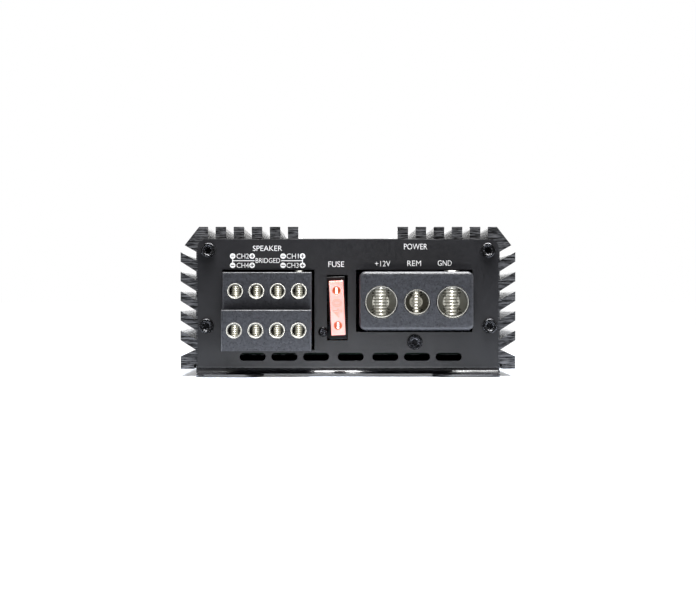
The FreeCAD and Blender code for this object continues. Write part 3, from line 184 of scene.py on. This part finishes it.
def black_extrusion():
    """Black anodised aluminium: die lines along its length, and saw marks across its cut ends.

    Like the other two black finishes below, it is duller where it faces straight up or down.
    """
    g = Graph("black_extrusion")
    cut_end = g.remap(g.facing("Y"), 0.7, 0.9)
    die_lines = g.noise((1400, 9, 1400), detail=3)
    saw = g.noise((150, 1, 2600), detail=4, roughness=0.65)
    scratches = g.noise((420, 1, 5200), detail=2, offset=3.0)
    marks = g.maths("ADD", g.remap(saw, 0.46, 0.62), g.remap(scratches, 0.55, 0.68, 0.0, 0.5), clamp=True)
    end_tone = g.blend(marks, grey(0.003), grey(0.11))
    side_tone = g.blend(g.remap(die_lines, 0.35, 0.65), grey(0.009), grey(0.018))
    side_rough = g.remap(die_lines, 0.3, 0.7, 0.2, 0.27)
    side_shine = g.remap(g.facing("Z"), 0.9, 0.99, 0.4, 0.14)
    end_rough = g.remap(marks, 0.0, 1.0, 0.5, 0.36)
    return g.finish(
        Base_Color=g.blend(cut_end, side_tone, end_tone),
        Roughness=g.between(cut_end, side_rough, end_rough),
        Specular_IOR_Level=g.between(cut_end, side_shine, g.remap(marks, 0.0, 1.0, 0.12, 0.8)),
        Normal=g.bump(g.between(cut_end, die_lines, marks), 0.00005, g.between(cut_end, 0.15, 0.5)),
    )


def black_sheet():
    """Satin black powder coat with a faint orange peel, glossier around the bend at the foot."""
    g = Graph("black_sheet")
    peel = g.noise((1300, 1300, 1300), detail=3)
    speck = g.noise((5200, 5200, 5200), detail=1, offset=7.0)
    relief = g.maths("ADD", peel, g.maths("MULTIPLY", speck, 0.4))
    foot = g.remap(g.split(g.place)[2], 0.0035, 0.0025)
    lying = g.remap(g.facing("Z"), 0.96, 0.995)
    rough = g.between(foot, g.remap(peel, 0.3, 0.7, 0.3, 0.42), 0.19)
    return g.finish(
        Base_Color=g.blend(g.remap(speck, 0.3, 0.7), (0.004, 0.004, 0.005), (0.012, 0.012, 0.014)),
        Roughness=g.between(lying, rough, 0.5),
        Specular_IOR_Level=g.between(lying, g.between(foot, 0.44, 0.8), 0.08),
        Normal=g.bump(relief, 0.00004, 0.8),
    )


def black_plastic():
    """Dark moulded plastic with a fine spark-eroded texture; painted shade darkens it in corners and
    recesses.
    """
    g = Graph("black_plastic")
    grain = g.noise((2600, 2600, 2600), detail=3, roughness=0.7)
    cloud = g.noise((1100, 1100, 1100), detail=3, offset=5.0)
    tone = g.maths("ADD", g.remap(grain, 0.32, 0.68, 0.0, 0.5), g.remap(cloud, 0.35, 0.65, 0.0, 0.5))
    # Painted shade: the tone is darkened where ambient occlusion finds corners and recesses, such as where
    # the speaker block's tiers meet.
    free_of_painted_recess_shade = g.remap(g.openness(0.009), 0.45, 0.95)
    pale = g.maths("MULTIPLY", tone, free_of_painted_recess_shade)
    shine = g.maths("MULTIPLY", free_of_painted_recess_shade, g.remap(g.facing("Z"), 0.6, 0.95, 1.0, 0.2))
    return g.finish(
        Base_Color=g.blend(pale, (0.009, 0.009, 0.011), (0.05, 0.052, 0.06)),
        Roughness=g.remap(grain, 0.3, 0.7, 0.24, 0.44),
        Specular_IOR_Level=g.remap(shine, 0.0, 1.0, 0.15, 0.72),
        Normal=g.bump(g.maths("ADD", grain, cloud), 0.00012, 1.0),
    )


def holder_plastic():
    """Smooth black moulding, darker than the terminal blocks."""
    g = Graph("holder_plastic")
    grain = g.noise((3000, 3000, 3000), detail=2)
    return g.finish(
        Base_Color=g.blend(grain, grey(0.004), grey(0.009)),
        Roughness=g.remap(grain, 0.3, 0.7, 0.4, 0.55),
        Specular_IOR_Level=0.22,
        Normal=g.bump(grain, 0.00003, 0.6),
    )


def black_screws():
    """Black oxide on steel; its edges are bright, partly rubbed wear and partly a painted highlight."""
    g = Graph("black_screws")
    mottle = g.noise((2600, 2600, 2600), detail=3)
    # Painted highlight and wear: the edges are painted pale bare steel.
    rubbed_and_glinting = g.maths("MULTIPLY", g.edge_wear_and_glint(0.00016), g.remap(mottle, 0.35, 0.6), clamp=True)
    return g.finish(
        Base_Color=g.blend(rubbed_and_glinting, grey(0.02), grey(0.8)),
        Metallic=0.9,
        Roughness=g.remap(mottle, 0.3, 0.7, 0.2, 0.36),
        Normal=g.bump(mottle, 0.00002, 0.4),
    )


def plating_marks(g):
    """The machining marks under a plating, and its stains."""
    marks = g.noise((900, 900, 2600), detail=3)
    stain = g.noise((400, 400, 400), detail=3, offset=2.0)
    return marks, g.remap(stain, 0.35, 0.7)


def plated(name, tone, rough):
    """Bright plating over machining marks."""
    g = Graph(name)
    marks, stain = plating_marks(g)
    dull = tuple(0.82 * part for part in tone)
    return g.finish(
        Base_Color=g.blend(stain, tone, dull),
        Metallic=1.0,
        Roughness=g.remap(marks, 0.3, 0.7, rough * 0.7, rough * 1.4),
        Normal=g.bump(marks, 0.00001, 0.35),
    )


# glow: the depths of the painted highlight on the thread; dark: the painted shade tone; nose: the nose's
# tone, painted dim.
def nickel_plate(name, housing, glow, tones, dark, nose, upper_back=0.0):
    """Nickel-plated brass, its tone painted by depth and facing: painted shade darkens the nose, the bore's
    walls and the near thread, a painted highlight brightens the far thread, and the tails under the board
    are painted dark.
    """
    g = Graph(name)
    marks, stain = plating_marks(g)
    housing_low, housing_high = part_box(housing)
    _, y, z = g.split(g.place)
    upper = g.maths("GREATER_THAN", z, housing_high.z - UPPER_TIER_TALL)
    behind = g.maths("SUBTRACT", y, g.between(upper, housing_low.y, housing_low.y + upper_back))
    # Painted shade: the nose, within the first millimetre behind the face, takes its own tone, painted dim
    # to hold back its reflection.
    inside = g.remap(behind, 0.5 * MM, 0.9 * MM)
    # Painted highlight and shade: the thread is painted dark near the face and bright at the far end of the
    # bore.
    painted_glow_depth = g.remap(behind, *glow)
    thread = g.blend(painted_glow_depth, dark, g.blend(stain, *tones))
    # Painted shade: faces that don't look along the bore, the bore's walls, are painted dark.
    free_of_painted_wall_shade = g.remap(g.facing("Y"), 0.2, 0.7)
    metal = g.blend(free_of_painted_wall_shade, dark, g.blend(inside, nose, thread))
    # Painted shade: the tails under the board are painted near black, so that they show no reflection
    # through the vents.
    painted_dark_tails = g.maths("LESS_THAN", z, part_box("circuit_board")[1].z)
    polished = g.between(inside, 1.0, painted_glow_depth)
    rough = g.between(free_of_painted_wall_shade, 0.08, g.between(polished, 0.42, g.remap(marks, 0.3, 0.7, 0.26, 0.4)))
    return g.finish(
        Base_Color=g.blend(painted_dark_tails, metal, grey(0.02)),
        Metallic=0.45,
        Roughness=g.between(painted_dark_tails, rough, 0.7),
        Normal=g.bump(marks, 0.00001, 0.35),
    )


def terminal_finishes():
    """The plating of each size of terminal, by its node's name."""
    speaker, power = "speaker_terminal_housing", "power_terminal_housing"
    # cream and pale: the threads' tones where the painted highlight is brightest; black, dark and dim: each
    # size's painted shade on the bore's walls and near thread; the noses are painted dim.
    cream = ((0.97, 0.95, 0.82), (0.92, 0.89, 0.74))
    pale = ((0.82, 0.81, 0.74), (0.76, 0.73, 0.64))
    nose, painted_dim_nose = (0.2, 0.195, 0.175), (0.10, 0.098, 0.088)
    black, dark, dim = (0.012, 0.011, 0.008), (0.07, 0.066, 0.05), (0.15, 0.147, 0.125)
    small = nickel_plate("small_nickel", speaker, SMALL_PAINTED_GLOW, cream, black, nose, UPPER_TIER_BACK)
    middle = nickel_plate("middle_nickel", power, MIDDLE_PAINTED_GLOW, pale, dark, painted_dim_nose)
    large = nickel_plate("large_nickel", power, LARGE_PAINTED_GLOW, pale, dim, painted_dim_nose)
    return {
        "speaker_terminal_contacts": small,
        "remote_terminal_contact": middle,
        "power_terminal_contacts": large,
    }


def fuse_middle():
    low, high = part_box("fuse_body")
    return (low + high) / 2


def eye_mask(g):
    """1 within the fuse's two test openings."""
    middle = fuse_middle()
    flat = g.node("VectorMath", {0: g.place, 1: (1.0, 0.0, 1.0)}, operation="MULTIPLY").outputs[0]
    mask = 0.0
    for side in (-1, 1):
        x = middle.x - side * EYE_FROM_MIDDLE * math.sin(FUSE_LEAN)
        z = middle.z + side * EYE_FROM_MIDDLE * math.cos(FUSE_LEAN)
        away = g.node("VectorMath", {0: flat, 1: (x, 0.0, z)}, operation="DISTANCE").outputs["Value"]
        mask = g.maths("ADD", mask, g.remap(away, EYE_RADIUS * 1.12, EYE_RADIUS * 0.98))
    return mask


def fuse_plastic():
    """Clear salmon plastic, cloudy inside, deeper where its test openings are moulded in; painted shade
    darkens its sides, and it glows a little as painted light.
    """
    g = Graph("fuse_plastic")
    cloud = g.noise((260, 260, 260), detail=3)
    pale = g.blend(g.remap(cloud, 0.3, 0.7), (1.0, 0.44, 0.40), (1.0, 0.52, 0.48))
    ring = eye_mask(g)
    # Painted shade: the sides are painted deeper and darker than the face.
    side = g.remap(g.facing("Y"), 0.6, 0.9, 1.0, 0.0)
    face = g.blend(ring, pale, (0.95, 0.22, 0.10))
    return g.finish(
        Base_Color=g.blend(side, face, (0.55, 0.10, 0.085)),
        Roughness=g.remap(cloud, 0.3, 0.7, 0.16, 0.26),
        Subsurface_Weight=0.6,
        Subsurface_Radius=(1.0, 0.35, 0.25),
        Subsurface_Scale=0.004,
        # Painted light: the plastic glows a little, though it is no lamp, redder in its test openings.
        Emission_Color=g.blend(ring, (1.0, 0.42, 0.34), (1.0, 0.12, 0.03)),
        Emission_Strength=0.16,
        Coat_Weight=0.4,
        Normal=g.bump(cloud, 0.00005, 0.3),
    )


def moulded(name, tone, rough=0.3):
    """Smooth coloured plastic with a slight mould mottle."""
    g = Graph(name)
    cloud = g.noise((700, 700, 700), detail=3)
    darker = tuple(0.85 * part for part in tone)
    return g.finish(
        Base_Color=g.blend(g.remap(cloud, 0.3, 0.7), tone, darker),
        Roughness=g.remap(cloud, 0.3, 0.7, rough * 0.8, rough * 1.2),
        Normal=g.bump(cloud, 0.00003, 0.25),
    )


def lamp_lens(name, tone):
    """A diffused lamp lens, unlit."""
    g = Graph(name)
    cloud = g.noise((900, 900, 900), detail=2)
    paler = tuple(min(1.0, 1.2 * part) for part in tone)
    return g.finish(
        Base_Color=g.blend(cloud, tone, paler),
        Roughness=0.18,
        Subsurface_Weight=0.5,
        Subsurface_Radius=(1.0, 1.0, 1.0),
        Subsurface_Scale=0.001,
        Coat_Weight=0.5,
    )


def bare_steel():
    """Brushed steel with a faint spangle."""
    g = Graph("bare_steel")
    brushed = g.noise((300, 2400, 2400), detail=3)
    spangle = g.cells((500, 500, 500))
    return g.finish(
        Base_Color=g.blend(g.remap(spangle, 0.0, 0.8), grey(0.42), grey(0.55)),
        Metallic=1.0,
        Roughness=g.remap(brushed, 0.3, 0.7, 0.28, 0.42),
        Normal=g.bump(brushed, 0.00001, 0.3),
    )


def laminate():
    """Black solder mask, with the weave of the glass cloth showing faintly; its cut ends are dull."""
    g = Graph("laminate")
    cut_end = g.facing("Y")
    weave = g.maths("ADD", g.noise((1800, 120, 1), detail=1), g.noise((120, 1800, 1), detail=1, offset=4.0))
    return g.finish(
        Base_Color=g.blend(g.remap(weave, 0.8, 1.2), (0.003, 0.005, 0.004), (0.010, 0.018, 0.013)),
        Roughness=g.between(cut_end, 0.4, 0.9),
        Specular_IOR_Level=g.between(cut_end, 0.5, 0.05),
        Normal=g.bump(weave, 0.00002, 0.3),
    )


def copper_wire():
    """Enamelled copper, wound in close turns."""
    g = Graph("copper_wire")
    inputs = {"Vector": g.place, "Scale": 900.0, "Distortion": 1.0}
    turns = g.node("TexWave", inputs, bands_direction="DIAGONAL").outputs["Fac"]
    return g.finish(
        Base_Color=g.blend(turns, (0.16, 0.045, 0.015), (0.62, 0.22, 0.08)),
        Metallic=0.8,
        Roughness=0.3,
        Normal=g.bump(turns, 0.0003, 0.8),
    )


def print_white():
    """White screen print, a little uneven."""
    g = Graph("print_white")
    cover = g.noise((3000, 3000, 3000), detail=2)
    return g.finish(
        Base_Color=g.blend(g.remap(cover, 0.3, 0.6), (0.75, 0.76, 0.78), (0.92, 0.92, 0.92)),
        Roughness=0.6,
        # Painted light: the print glows a little, though it is no lamp, to keep it bright.
        Emission_Color=(1.0, 1.0, 1.0),
        Emission_Strength=0.15,
    )


def numeral_orange():
    """The moulded rating on the fuse, a deeper tint of its plastic."""
    g = Graph("numeral_orange")
    cloud = g.noise((600, 600, 600), detail=2)
    return g.finish(
        Base_Color=g.blend(cloud, (0.95, 0.30, 0.20), (1.0, 0.38, 0.27)),
        Roughness=0.3,
        # Painted light: the numerals glow a little, though they are no lamp.
        Emission_Color=(1.0, 0.25, 0.15),
        Emission_Strength=0.12,
    )


FINISHES = {
    "black_extrusion": black_extrusion(),
    "black_sheet": black_sheet(),
    "black_screws": black_screws(),
    "black_plastic": black_plastic(),
    "nickel_plate": plated("nickel_plate", (0.75, 0.74, 0.70), 0.25),
    "plated_screws": plated("plated_screws", (0.22, 0.215, 0.2), 0.3),
    "fuse_plastic": fuse_plastic(),
    "fuse_metal": plated("fuse_metal", (0.92, 0.92, 0.91), 0.3),
    "white_plastic": moulded("white_plastic", (0.80, 0.80, 0.77)),
    "red_plastic": moulded("red_plastic", (0.55, 0.02, 0.02)),
    "blue_lens": lamp_lens("blue_lens", (0.25, 0.45, 0.95)),
    "red_lens": lamp_lens("red_lens", (0.8, 0.08, 0.05)),
    "laminate": laminate(),
    "bare_steel": bare_steel(),
    "ferrite": moulded("ferrite", grey(0.05), 0.7),
    "copper_wire": copper_wire(),
    "can_sleeve": moulded("can_sleeve", (0.02, 0.02, 0.05), 0.3),
    "epoxy": moulded("epoxy", grey(0.02), 0.6),
    "silicone_pad": moulded("silicone_pad", grey(0.5), 0.8),
}
OWN_FINISHES = {"fuse_holder": holder_plastic(), **terminal_finishes()}
PRINT = print_white()
NUMERAL = numeral_orange()


def dress_nodes():
    """Each CAD node takes its record slot's finish, but for the few with one of their own."""
    for row in frame["record"]["subparts"]:
        mesh = NODES[row["node"]].data
        mesh.materials.clear()
        mesh.materials.append(OWN_FINISHES.get(row["node"], FINISHES[row["material_slot"]]))


# ---- edges ----

EDGE_WIDTHS = {
    "heatsink": 0.12,
    "front_end_plate": 0.10,
    "rear_end_plate": 0.10,
    "bottom_plate": 0.08,
    "speaker_terminal_housing": 0.08,
    "power_terminal_housing": 0.08,
    "fuse_body": 0.06,
    "fuse_holder": 0.12,
    "input_socket_housing": 0.15,
    "input_sleeves": 0.05,
    "left_input_inserts": 0.08,
    "right_input_inserts": 0.08,
    "input_centre_contacts": 0.05,
    "front_mode_slider": 0.12,
    "rear_mode_slider": 0.12,
    "front_gain_knob": 0.06,
    "rear_gain_knob": 0.06,
    "highpass_knob": 0.06,
    "lowpass_knob": 0.06,
    "front_plate_screws": 0.06,
    "rear_plate_screws": 0.06,
    "ground_bracket_screw": 0.06,
    "fuse_holder_screw": 0.14,
    "bottom_plate_screws": 0.05,
    "circuit_board": 0.05,
}


def soften(name, width):
    """Breaks a node's sharp edges with a small real bevel."""
    piece = NODES[name]
    weld = piece.modifiers.new("weld", "WELD")
    weld.merge_threshold = 0.002 * MM
    flat = piece.modifiers.new("flat", "DECIMATE")
    flat.decimate_type = "DISSOLVE"
    flat.angle_limit = math.radians(1)
    bevel = piece.modifiers.new("bevel", "BEVEL")
    bevel.width = width
    bevel.segments = 2
    bevel.limit_method = "ANGLE"
    bevel.angle_limit = math.radians(40)
    bevel.harden_normals = True


# ---- legends ----


def fit(made, wide, tall):
    """Scales a flat text so that its ink is this wide and tall."""
    bpy.context.view_layer.update()
    size = made.dimensions
    made.scale = (wide / size.x, tall / size.y, 1.0)


def middle_of(made):
    """The centre of an object's box, in its own coordinates."""
    bpy.context.view_layer.update()
    return sum((Vector(corner) for corner in made.bound_box), Vector()) / 8


def legend(name, text, left, right, z, tall, rear=False):
    """White lettering on an end plate, in millimetres; its ink runs from left to right around height z."""
    curve = bpy.data.curves.new(name, "FONT")
    curve.body = text
    curve.size = TEXT_SIZE
    curve.resolution_u = 4
    curve.offset = -0.02 * MM
    curve.extrude = PRINT_THICK
    made = bpy.data.objects.new(name, curve)
    SCENE.collection.objects.link(made)
    fit(made, (right - left) * MM, tall * MM)
    upright = Matrix.Rotation(math.radians(90), 4, "X")
    turn = Matrix.Rotation(math.radians(180 if rear else 0), 4, "Z") @ upright
    target = Vector(((left + right) / 2 * MM, REAR if rear else FRONT, z * MM))
    squeeze = Matrix.Diagonal((*made.scale, 1.0))
    back = Matrix.Translation(-middle_of(made))
    made.matrix_world = Matrix.Translation(target) @ turn @ squeeze @ back
    curve.materials.append(PRINT)
    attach(made, "root")


def circle_points(x, z, radius, count=28):
    turn = 2 * math.pi / count
    return [(x + radius * math.cos(i * turn), z + radius * math.sin(i * turn)) for i in range(count)]


def bar_points(x0, x1, z0, z1):
    return [(x0, z0), (x1, z0), (x1, z1), (x0, z1)]


def sign_points(x, z, plus):
    """The outline of a minus or plus sign."""
    arm, half = 0.62, 0.15
    if not plus:
        return bar_points(x - arm, x + arm, z - half, z + half)
    points = []
    quarter = [(half, half), (half, arm), (-half, arm)]
    for _ in range(4):
        points += quarter
        quarter = [(-b, a) for a, b in quarter]
    return [(x + a, z + b) for a, b in points]


def printed_shapes(name, outlines, rear=False):
    """Flat white shapes on an end plate, in millimetres; an outline inside another is left unprinted."""
    curve = bpy.data.curves.new(name, "CURVE")
    curve.dimensions = "2D"
    curve.fill_mode = "BOTH"
    curve.extrude = PRINT_THICK
    for outline in outlines:
        spline = curve.splines.new("POLY")
        spline.points.add(len(outline) - 1)
        for point, (x, z) in zip(spline.points, outline):
            point.co = ((-x if rear else x) * MM, z * MM, 0.0, 1.0)
        spline.use_cyclic_u = True
    made = bpy.data.objects.new(name, curve)
    SCENE.collection.objects.link(made)
    made.rotation_euler = (math.radians(90), 0, math.radians(180 if rear else 0))
    made.location.y = REAR if rear else FRONT
    curve.materials.append(PRINT)
    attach(made, "root")


def front_legends():
    """The terminal end's words, signs and bridging lines."""
    legend("legend_speaker", "SPEAKER", -33.5, -23.2, 45.0, 1.85)
    legend("legend_bridged", "BRIDGED", -32.5, -23.9, 40.7, 1.7)
    signs = ((-40.6, False), (-33.75, True), (-22.85, False), (-16.0, True))
    shapes = []
    for z, left, right in ((42.25, "CH2", "CH1"), (39.0, "CH4", "CH3")):
        legend(f"legend_{left.lower()}", left, -39.2, -34.9, z, 1.75)
        legend(f"legend_{right.lower()}", right, -21.6, -17.4, z, 1.75)
        for x, plus in signs:
            shapes.append(circle_points(x, z, 0.98))
            shapes.append(sign_points(x, z, plus))
    printed_shapes("legend_speaker_signs", shapes)
    lines = []
    for near, x0, x1 in ((-40.6, -40.75, -32.9), (-16.0, -23.5, -15.85)):
        lines.append(bar_points(x0, x1, 40.5, 40.78))
        lines.append(bar_points(near - 0.14, near + 0.14, 40.78, 41.27))
        lines.append(bar_points(near - 0.14, near + 0.14, 39.98, 40.5))
    printed_shapes("legend_bridging_lines", lines)
    legend("legend_fuse", "FUSE", -6.9, -1.35, 39.4, 1.95)
    legend("legend_power", "POWER", 19.7, 27.9, 45.6, 2.0)
    legend("legend_positive", "+12V", 9.5, 14.9, 39.6, 1.9)
    legend("legend_remote", "REM", 20.9, 25.7, 39.7, 1.9)
    legend("legend_ground", "GND", 31.6, 36.5, 39.8, 1.9)


def centre_of(node):
    """A node's middle, in millimetres."""
    low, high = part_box(node)
    return (low + high) / 2 / MM


def tick_points(x, z, angle, inner, outer):
    """A small radial bar; angle 0 points up."""
    out = Vector((math.sin(angle), math.cos(angle)))
    across = Vector((out.y, -out.x)) * 0.11
    middle = Vector((x, z))
    near, far = middle + out * inner, middle + out * outer
    return [tuple(point) for point in (near - across, near + across, far + across, far - across)]


KNOBS = (
    ("front_gain_knob", "front_gain", "GAIN"),
    ("rear_gain_knob", "rear_gain", "GAIN"),
    ("highpass_knob", "highpass", "HPF"),
    ("lowpass_knob", "lowpass", "LPF"),
)


def rear_legends():
    """Plain words and dial marks for the control end."""
    ticks = []
    for node, _, word in KNOBS:
        spot = centre_of(node)
        half = 0.62 * len(word)
        legend(f"legend_{node}", word, spot.x - half, spot.x + half, spot.z + 6.9, 1.5, rear=True)
        for step in range(9):
            outer = 4.8 if step % 4 else 5.3
            ticks.append(tick_points(spot.x, spot.z, math.radians(35 * step - 140), 4.1, outer))
    printed_shapes("legend_knob_ticks", ticks, rear=True)
    for node, word in (("front_mode_slider", "CH 1/2"), ("rear_mode_slider", "CH 3/4")):
        spot = centre_of(node)
        legend(f"legend_{node}", word, spot.x - 3.0, spot.x + 3.0, spot.z + 4.2, 1.5, rear=True)
        legend(f"legend_{node}_off", "OFF", spot.x + 5.4, spot.x + 8.2, spot.z, 1.3, rear=True)
        legend(f"legend_{node}_on", "ON", spot.x - 7.8, spot.x - 5.8, spot.z, 1.3, rear=True)
    for node, word in (("power_lamp", "PWR"), ("protect_lamp", "PROT")):
        spot = centre_of(node)
        wide = 1.05 * len(word)
        legend(f"legend_{node}", word, spot.x + 2.6, spot.x + 2.6 + wide, spot.z, 1.3, rear=True)
    sockets = centre_of("input_socket_housing")
    left, right = centre_of("left_input_inserts"), centre_of("right_input_inserts")
    legend("legend_input", "INPUT", sockets.x - 3.6, sockets.x + 3.6, left.z + 8.0, 1.7, rear=True)
    legend("legend_left", "L", sockets.x - 0.5, sockets.x + 0.5, left.z, 1.6, rear=True)
    legend("legend_right", "R", sockets.x - 0.5, sockets.x + 0.5, right.z, 1.6, rear=True)


def fuse_rating():
    """The rating moulded in outline on the fuse's face, reading upwards."""
    curve = bpy.data.curves.new("fuse_rating", "FONT")
    curve.body = "40"
    curve.size = TEXT_SIZE
    curve.resolution_u = 5
    curve.space_character = 1.15
    made = bpy.data.objects.new("fuse_rating", curve)
    SCENE.collection.objects.link(made)
    fit(made, 6.3 * MM, 3.0 * MM)
    back = Matrix.Translation(-middle_of(made))
    curve.fill_mode = "NONE"
    curve.bevel_depth = 0.09 * MM / made.scale.y
    lean = Matrix.Rotation(-FUSE_LEAN, 4, "Y") @ Matrix.Rotation(math.radians(90), 4, "X")
    turn = lean @ Matrix.Rotation(math.radians(90), 4, "Z")
    squeeze = Matrix.Diagonal((*made.scale, 1.0))
    middle = fuse_middle()
    target = Vector((middle.x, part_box("fuse_body")[0].y, middle.z))
    made.matrix_world = Matrix.Translation(target) @ turn @ squeeze @ back
    curve.materials.append(NUMERAL)
    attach(made, "fuse")


def knob_marks():
    """A white pointer line on each control's face."""
    for node, body, _ in KNOBS:
        low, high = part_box(node)
        mesh = bpy.data.meshes.new(f"{node}_pointer")
        build = bmesh.new()
        bmesh.ops.create_cube(build, size=1.0)
        bmesh.ops.scale(build, vec=(0.45 * MM, 0.08 * MM, 2.2 * MM), verts=build.verts)
        build.to_mesh(mesh)
        build.free()
        made = bpy.data.objects.new(f"{node}_pointer", mesh)
        SCENE.collection.objects.link(made)
        made.location = ((low.x + high.x) / 2, high.y, (low.z + high.z) / 2 + 1.5 * MM)
        mesh.materials.append(PRINT)
        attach(made, body)


# ---- stage ----


def area_light(name, at, towards, size, power):
    """A soft rectangular lamp, aimed at a point."""
    data = bpy.data.lights.new(name, "AREA")
    data.shape = "RECTANGLE"
    data.size, data.size_y = size
    data.energy = power
    lamp = bpy.data.objects.new(name, data)
    SCENE.collection.objects.link(lamp)
    lamp.location = at
    aim = Vector(towards) - Vector(at)
    lamp.rotation_euler = aim.to_track_quat("-Z", "Y").to_euler()
    lamp.visible_camera = False
    return lamp


def shine_only_on(lamp, slots):
    """Lets a lamp reach only the nodes of these material slots."""
    lit = bpy.data.collections.new(f"{lamp.name}_lit")
    for row in frame["record"]["subparts"]:
        if row["material_slot"] in slots:
            lit.objects.link(NODES[row["node"]])
    lamp.light_linking.receiver_collection = lit


def floor():
    """A white sheet that runs out of sight. Seen directly, it fades to pure white away from the object."""
    mesh = bpy.data.meshes.new("floor")
    reach = 20.0
    corners = [(-reach, -reach, 0), (reach, -reach, 0), (reach, reach, 0), (-reach, reach, 0)]
    mesh.from_pydata(corners, [], [(0, 1, 2, 3)])
    made = bpy.data.objects.new("floor", mesh)
    SCENE.collection.objects.link(made)
    made.location.z = FLOOR
    g = Graph("floor")
    away = g.node("VectorMath", {0: g.place}, operation="LENGTH").outputs["Value"]
    tone = g.blend(g.remap(away, 0.12, 0.22), (0.83, 0.885, 0.99), (0.06, 0.06, 0.06))
    white = g.node("BsdfDiffuse", {"Color": tone}).outputs[0]
    seen = g.node("LightPath").outputs["Is Camera Ray"]
    glow = g.maths("MULTIPLY", seen, g.remap(away, 0.12, 0.20, 0.35, 1.0))
    lit = g.node("Emission", {"Color": (1.0, 1.0, 1.0), "Strength": glow}).outputs[0]
    both = g.node("AddShader", {0: white, 1: lit}).outputs[0]
    g.tree.links.new(both, g.node("OutputMaterial").inputs[0])
    mesh.materials.append(g.material)


def sky():
    """White where the camera sees it; as a light, dim in front, brighter behind, with a panel low behind."""
    world = bpy.data.worlds.new("sky")
    SCENE.world = world
    world.use_nodes = True
    tree = world.node_tree
    tree.nodes.clear()

    def node(kind, **values):
        made = tree.nodes.new("ShaderNode" + kind)
        for key, given in values.items():
            socket = made.inputs[int(key) if key.isdigit() else key.replace("_", " ")]
            if isinstance(given, bpy.types.NodeSocket):
                tree.links.new(given, socket)
            else:
                socket.default_value = given
        return made

    way = node("SeparateXYZ", Vector=node("TexCoord").outputs["Generated"]).outputs
    total = 0.0
    for y0, y1, gain in ((-0.95, -0.5, 0.45), (-0.5, 0.9, 0.25), (0.9, 0.985, 2.0)):
        step = node("MapRange", Value=way[1], From_Min=y0, From_Max=y1, To_Min=0.0, To_Max=gain)
        total = node("Math", **{"0": step.outputs[0], "1": total}).outputs[0]
    felt = node("Background", Color=(1, 1, 1, 1), Strength=total)
    seen = node("Background", Color=(1, 1, 1, 1), Strength=1.0)
    mix = tree.nodes.new("ShaderNodeMixShader")
    tree.links.new(node("LightPath").outputs["Is Camera Ray"], mix.inputs[0])
    tree.links.new(felt.outputs[0], mix.inputs[1])
    tree.links.new(seen.outputs[0], mix.inputs[2])
    tree.links.new(mix.outputs[0], node("OutputWorld").inputs[0])


BARE_METAL = ("nickel_plate", "plated_screws", "fuse_metal")
SHEET = ("black_sheet",)

# Name, place, target, size, watts, and the material slots it lights, where that isn't all of them.
LAMPS = (
    ("overhead", (0.04, -0.16, 0.40), (0.01, -0.12, 0.0), (0.36, 0.30), 6.6, None),
    ("bend_glint", (0.015, -0.125, 0.36), (0.012, -0.096, 0.0), (0.26, 0.08), 7.0, SHEET),
    ("rear_fill", (0.15, 0.5, 0.45), (0.0, 0.05, 0.02), (0.4, 0.3), 3.0, None),
    ("terminals", (0.0, -0.58, 0.05), (0.0, -0.1, 0.026), (0.3, 0.08), 0.75, BARE_METAL),
    ("bores", (0.0, -0.58, 0.04), (0.0, -0.1, 0.025), (0.12, 0.08), 1.1, ("nickel_plate",)),
    ("low_glow", (0.0, -0.22, 0.004), (0.0, -0.095, 0.004), (0.11, 0.012), 0.036, SHEET),
)


def lamps():
    for name, at, towards, size, power, slots in LAMPS:
        lamp = area_light(name, at, towards, size, power)
        if slots:
            shine_only_on(lamp, slots)


def camera():
    """Straight on to the terminal end, from 0.6 m; the lens is shifted rather than the camera turned."""
    away, seen_wide, raised = 0.6, 0.245, 0.0003
    data = bpy.data.cameras.new("camera")
    data.sensor_width = 36.0
    data.lens = data.sensor_width * away / seen_wide
    eye = Vector((-0.005, FRONT - away, 0.0265))
    data.shift_x = -eye.x / seen_wide
    data.shift_y = raised / seen_wide
    data.clip_start = 0.01
    made = bpy.data.objects.new("camera", data)
    SCENE.collection.objects.link(made)
    made.location = eye
    made.rotation_euler = (math.radians(90), 0, 0)
    SCENE.camera = made


def main():
    dress_nodes()
    for name, width in EDGE_WIDTHS.items():
        soften(name, width * MM)
    front_legends()
    rear_legends()
    fuse_rating()
    knob_marks()
    floor()
    sky()
    lamps()
    camera()
    SCENE.view_settings.view_transform = "Standard"


main()
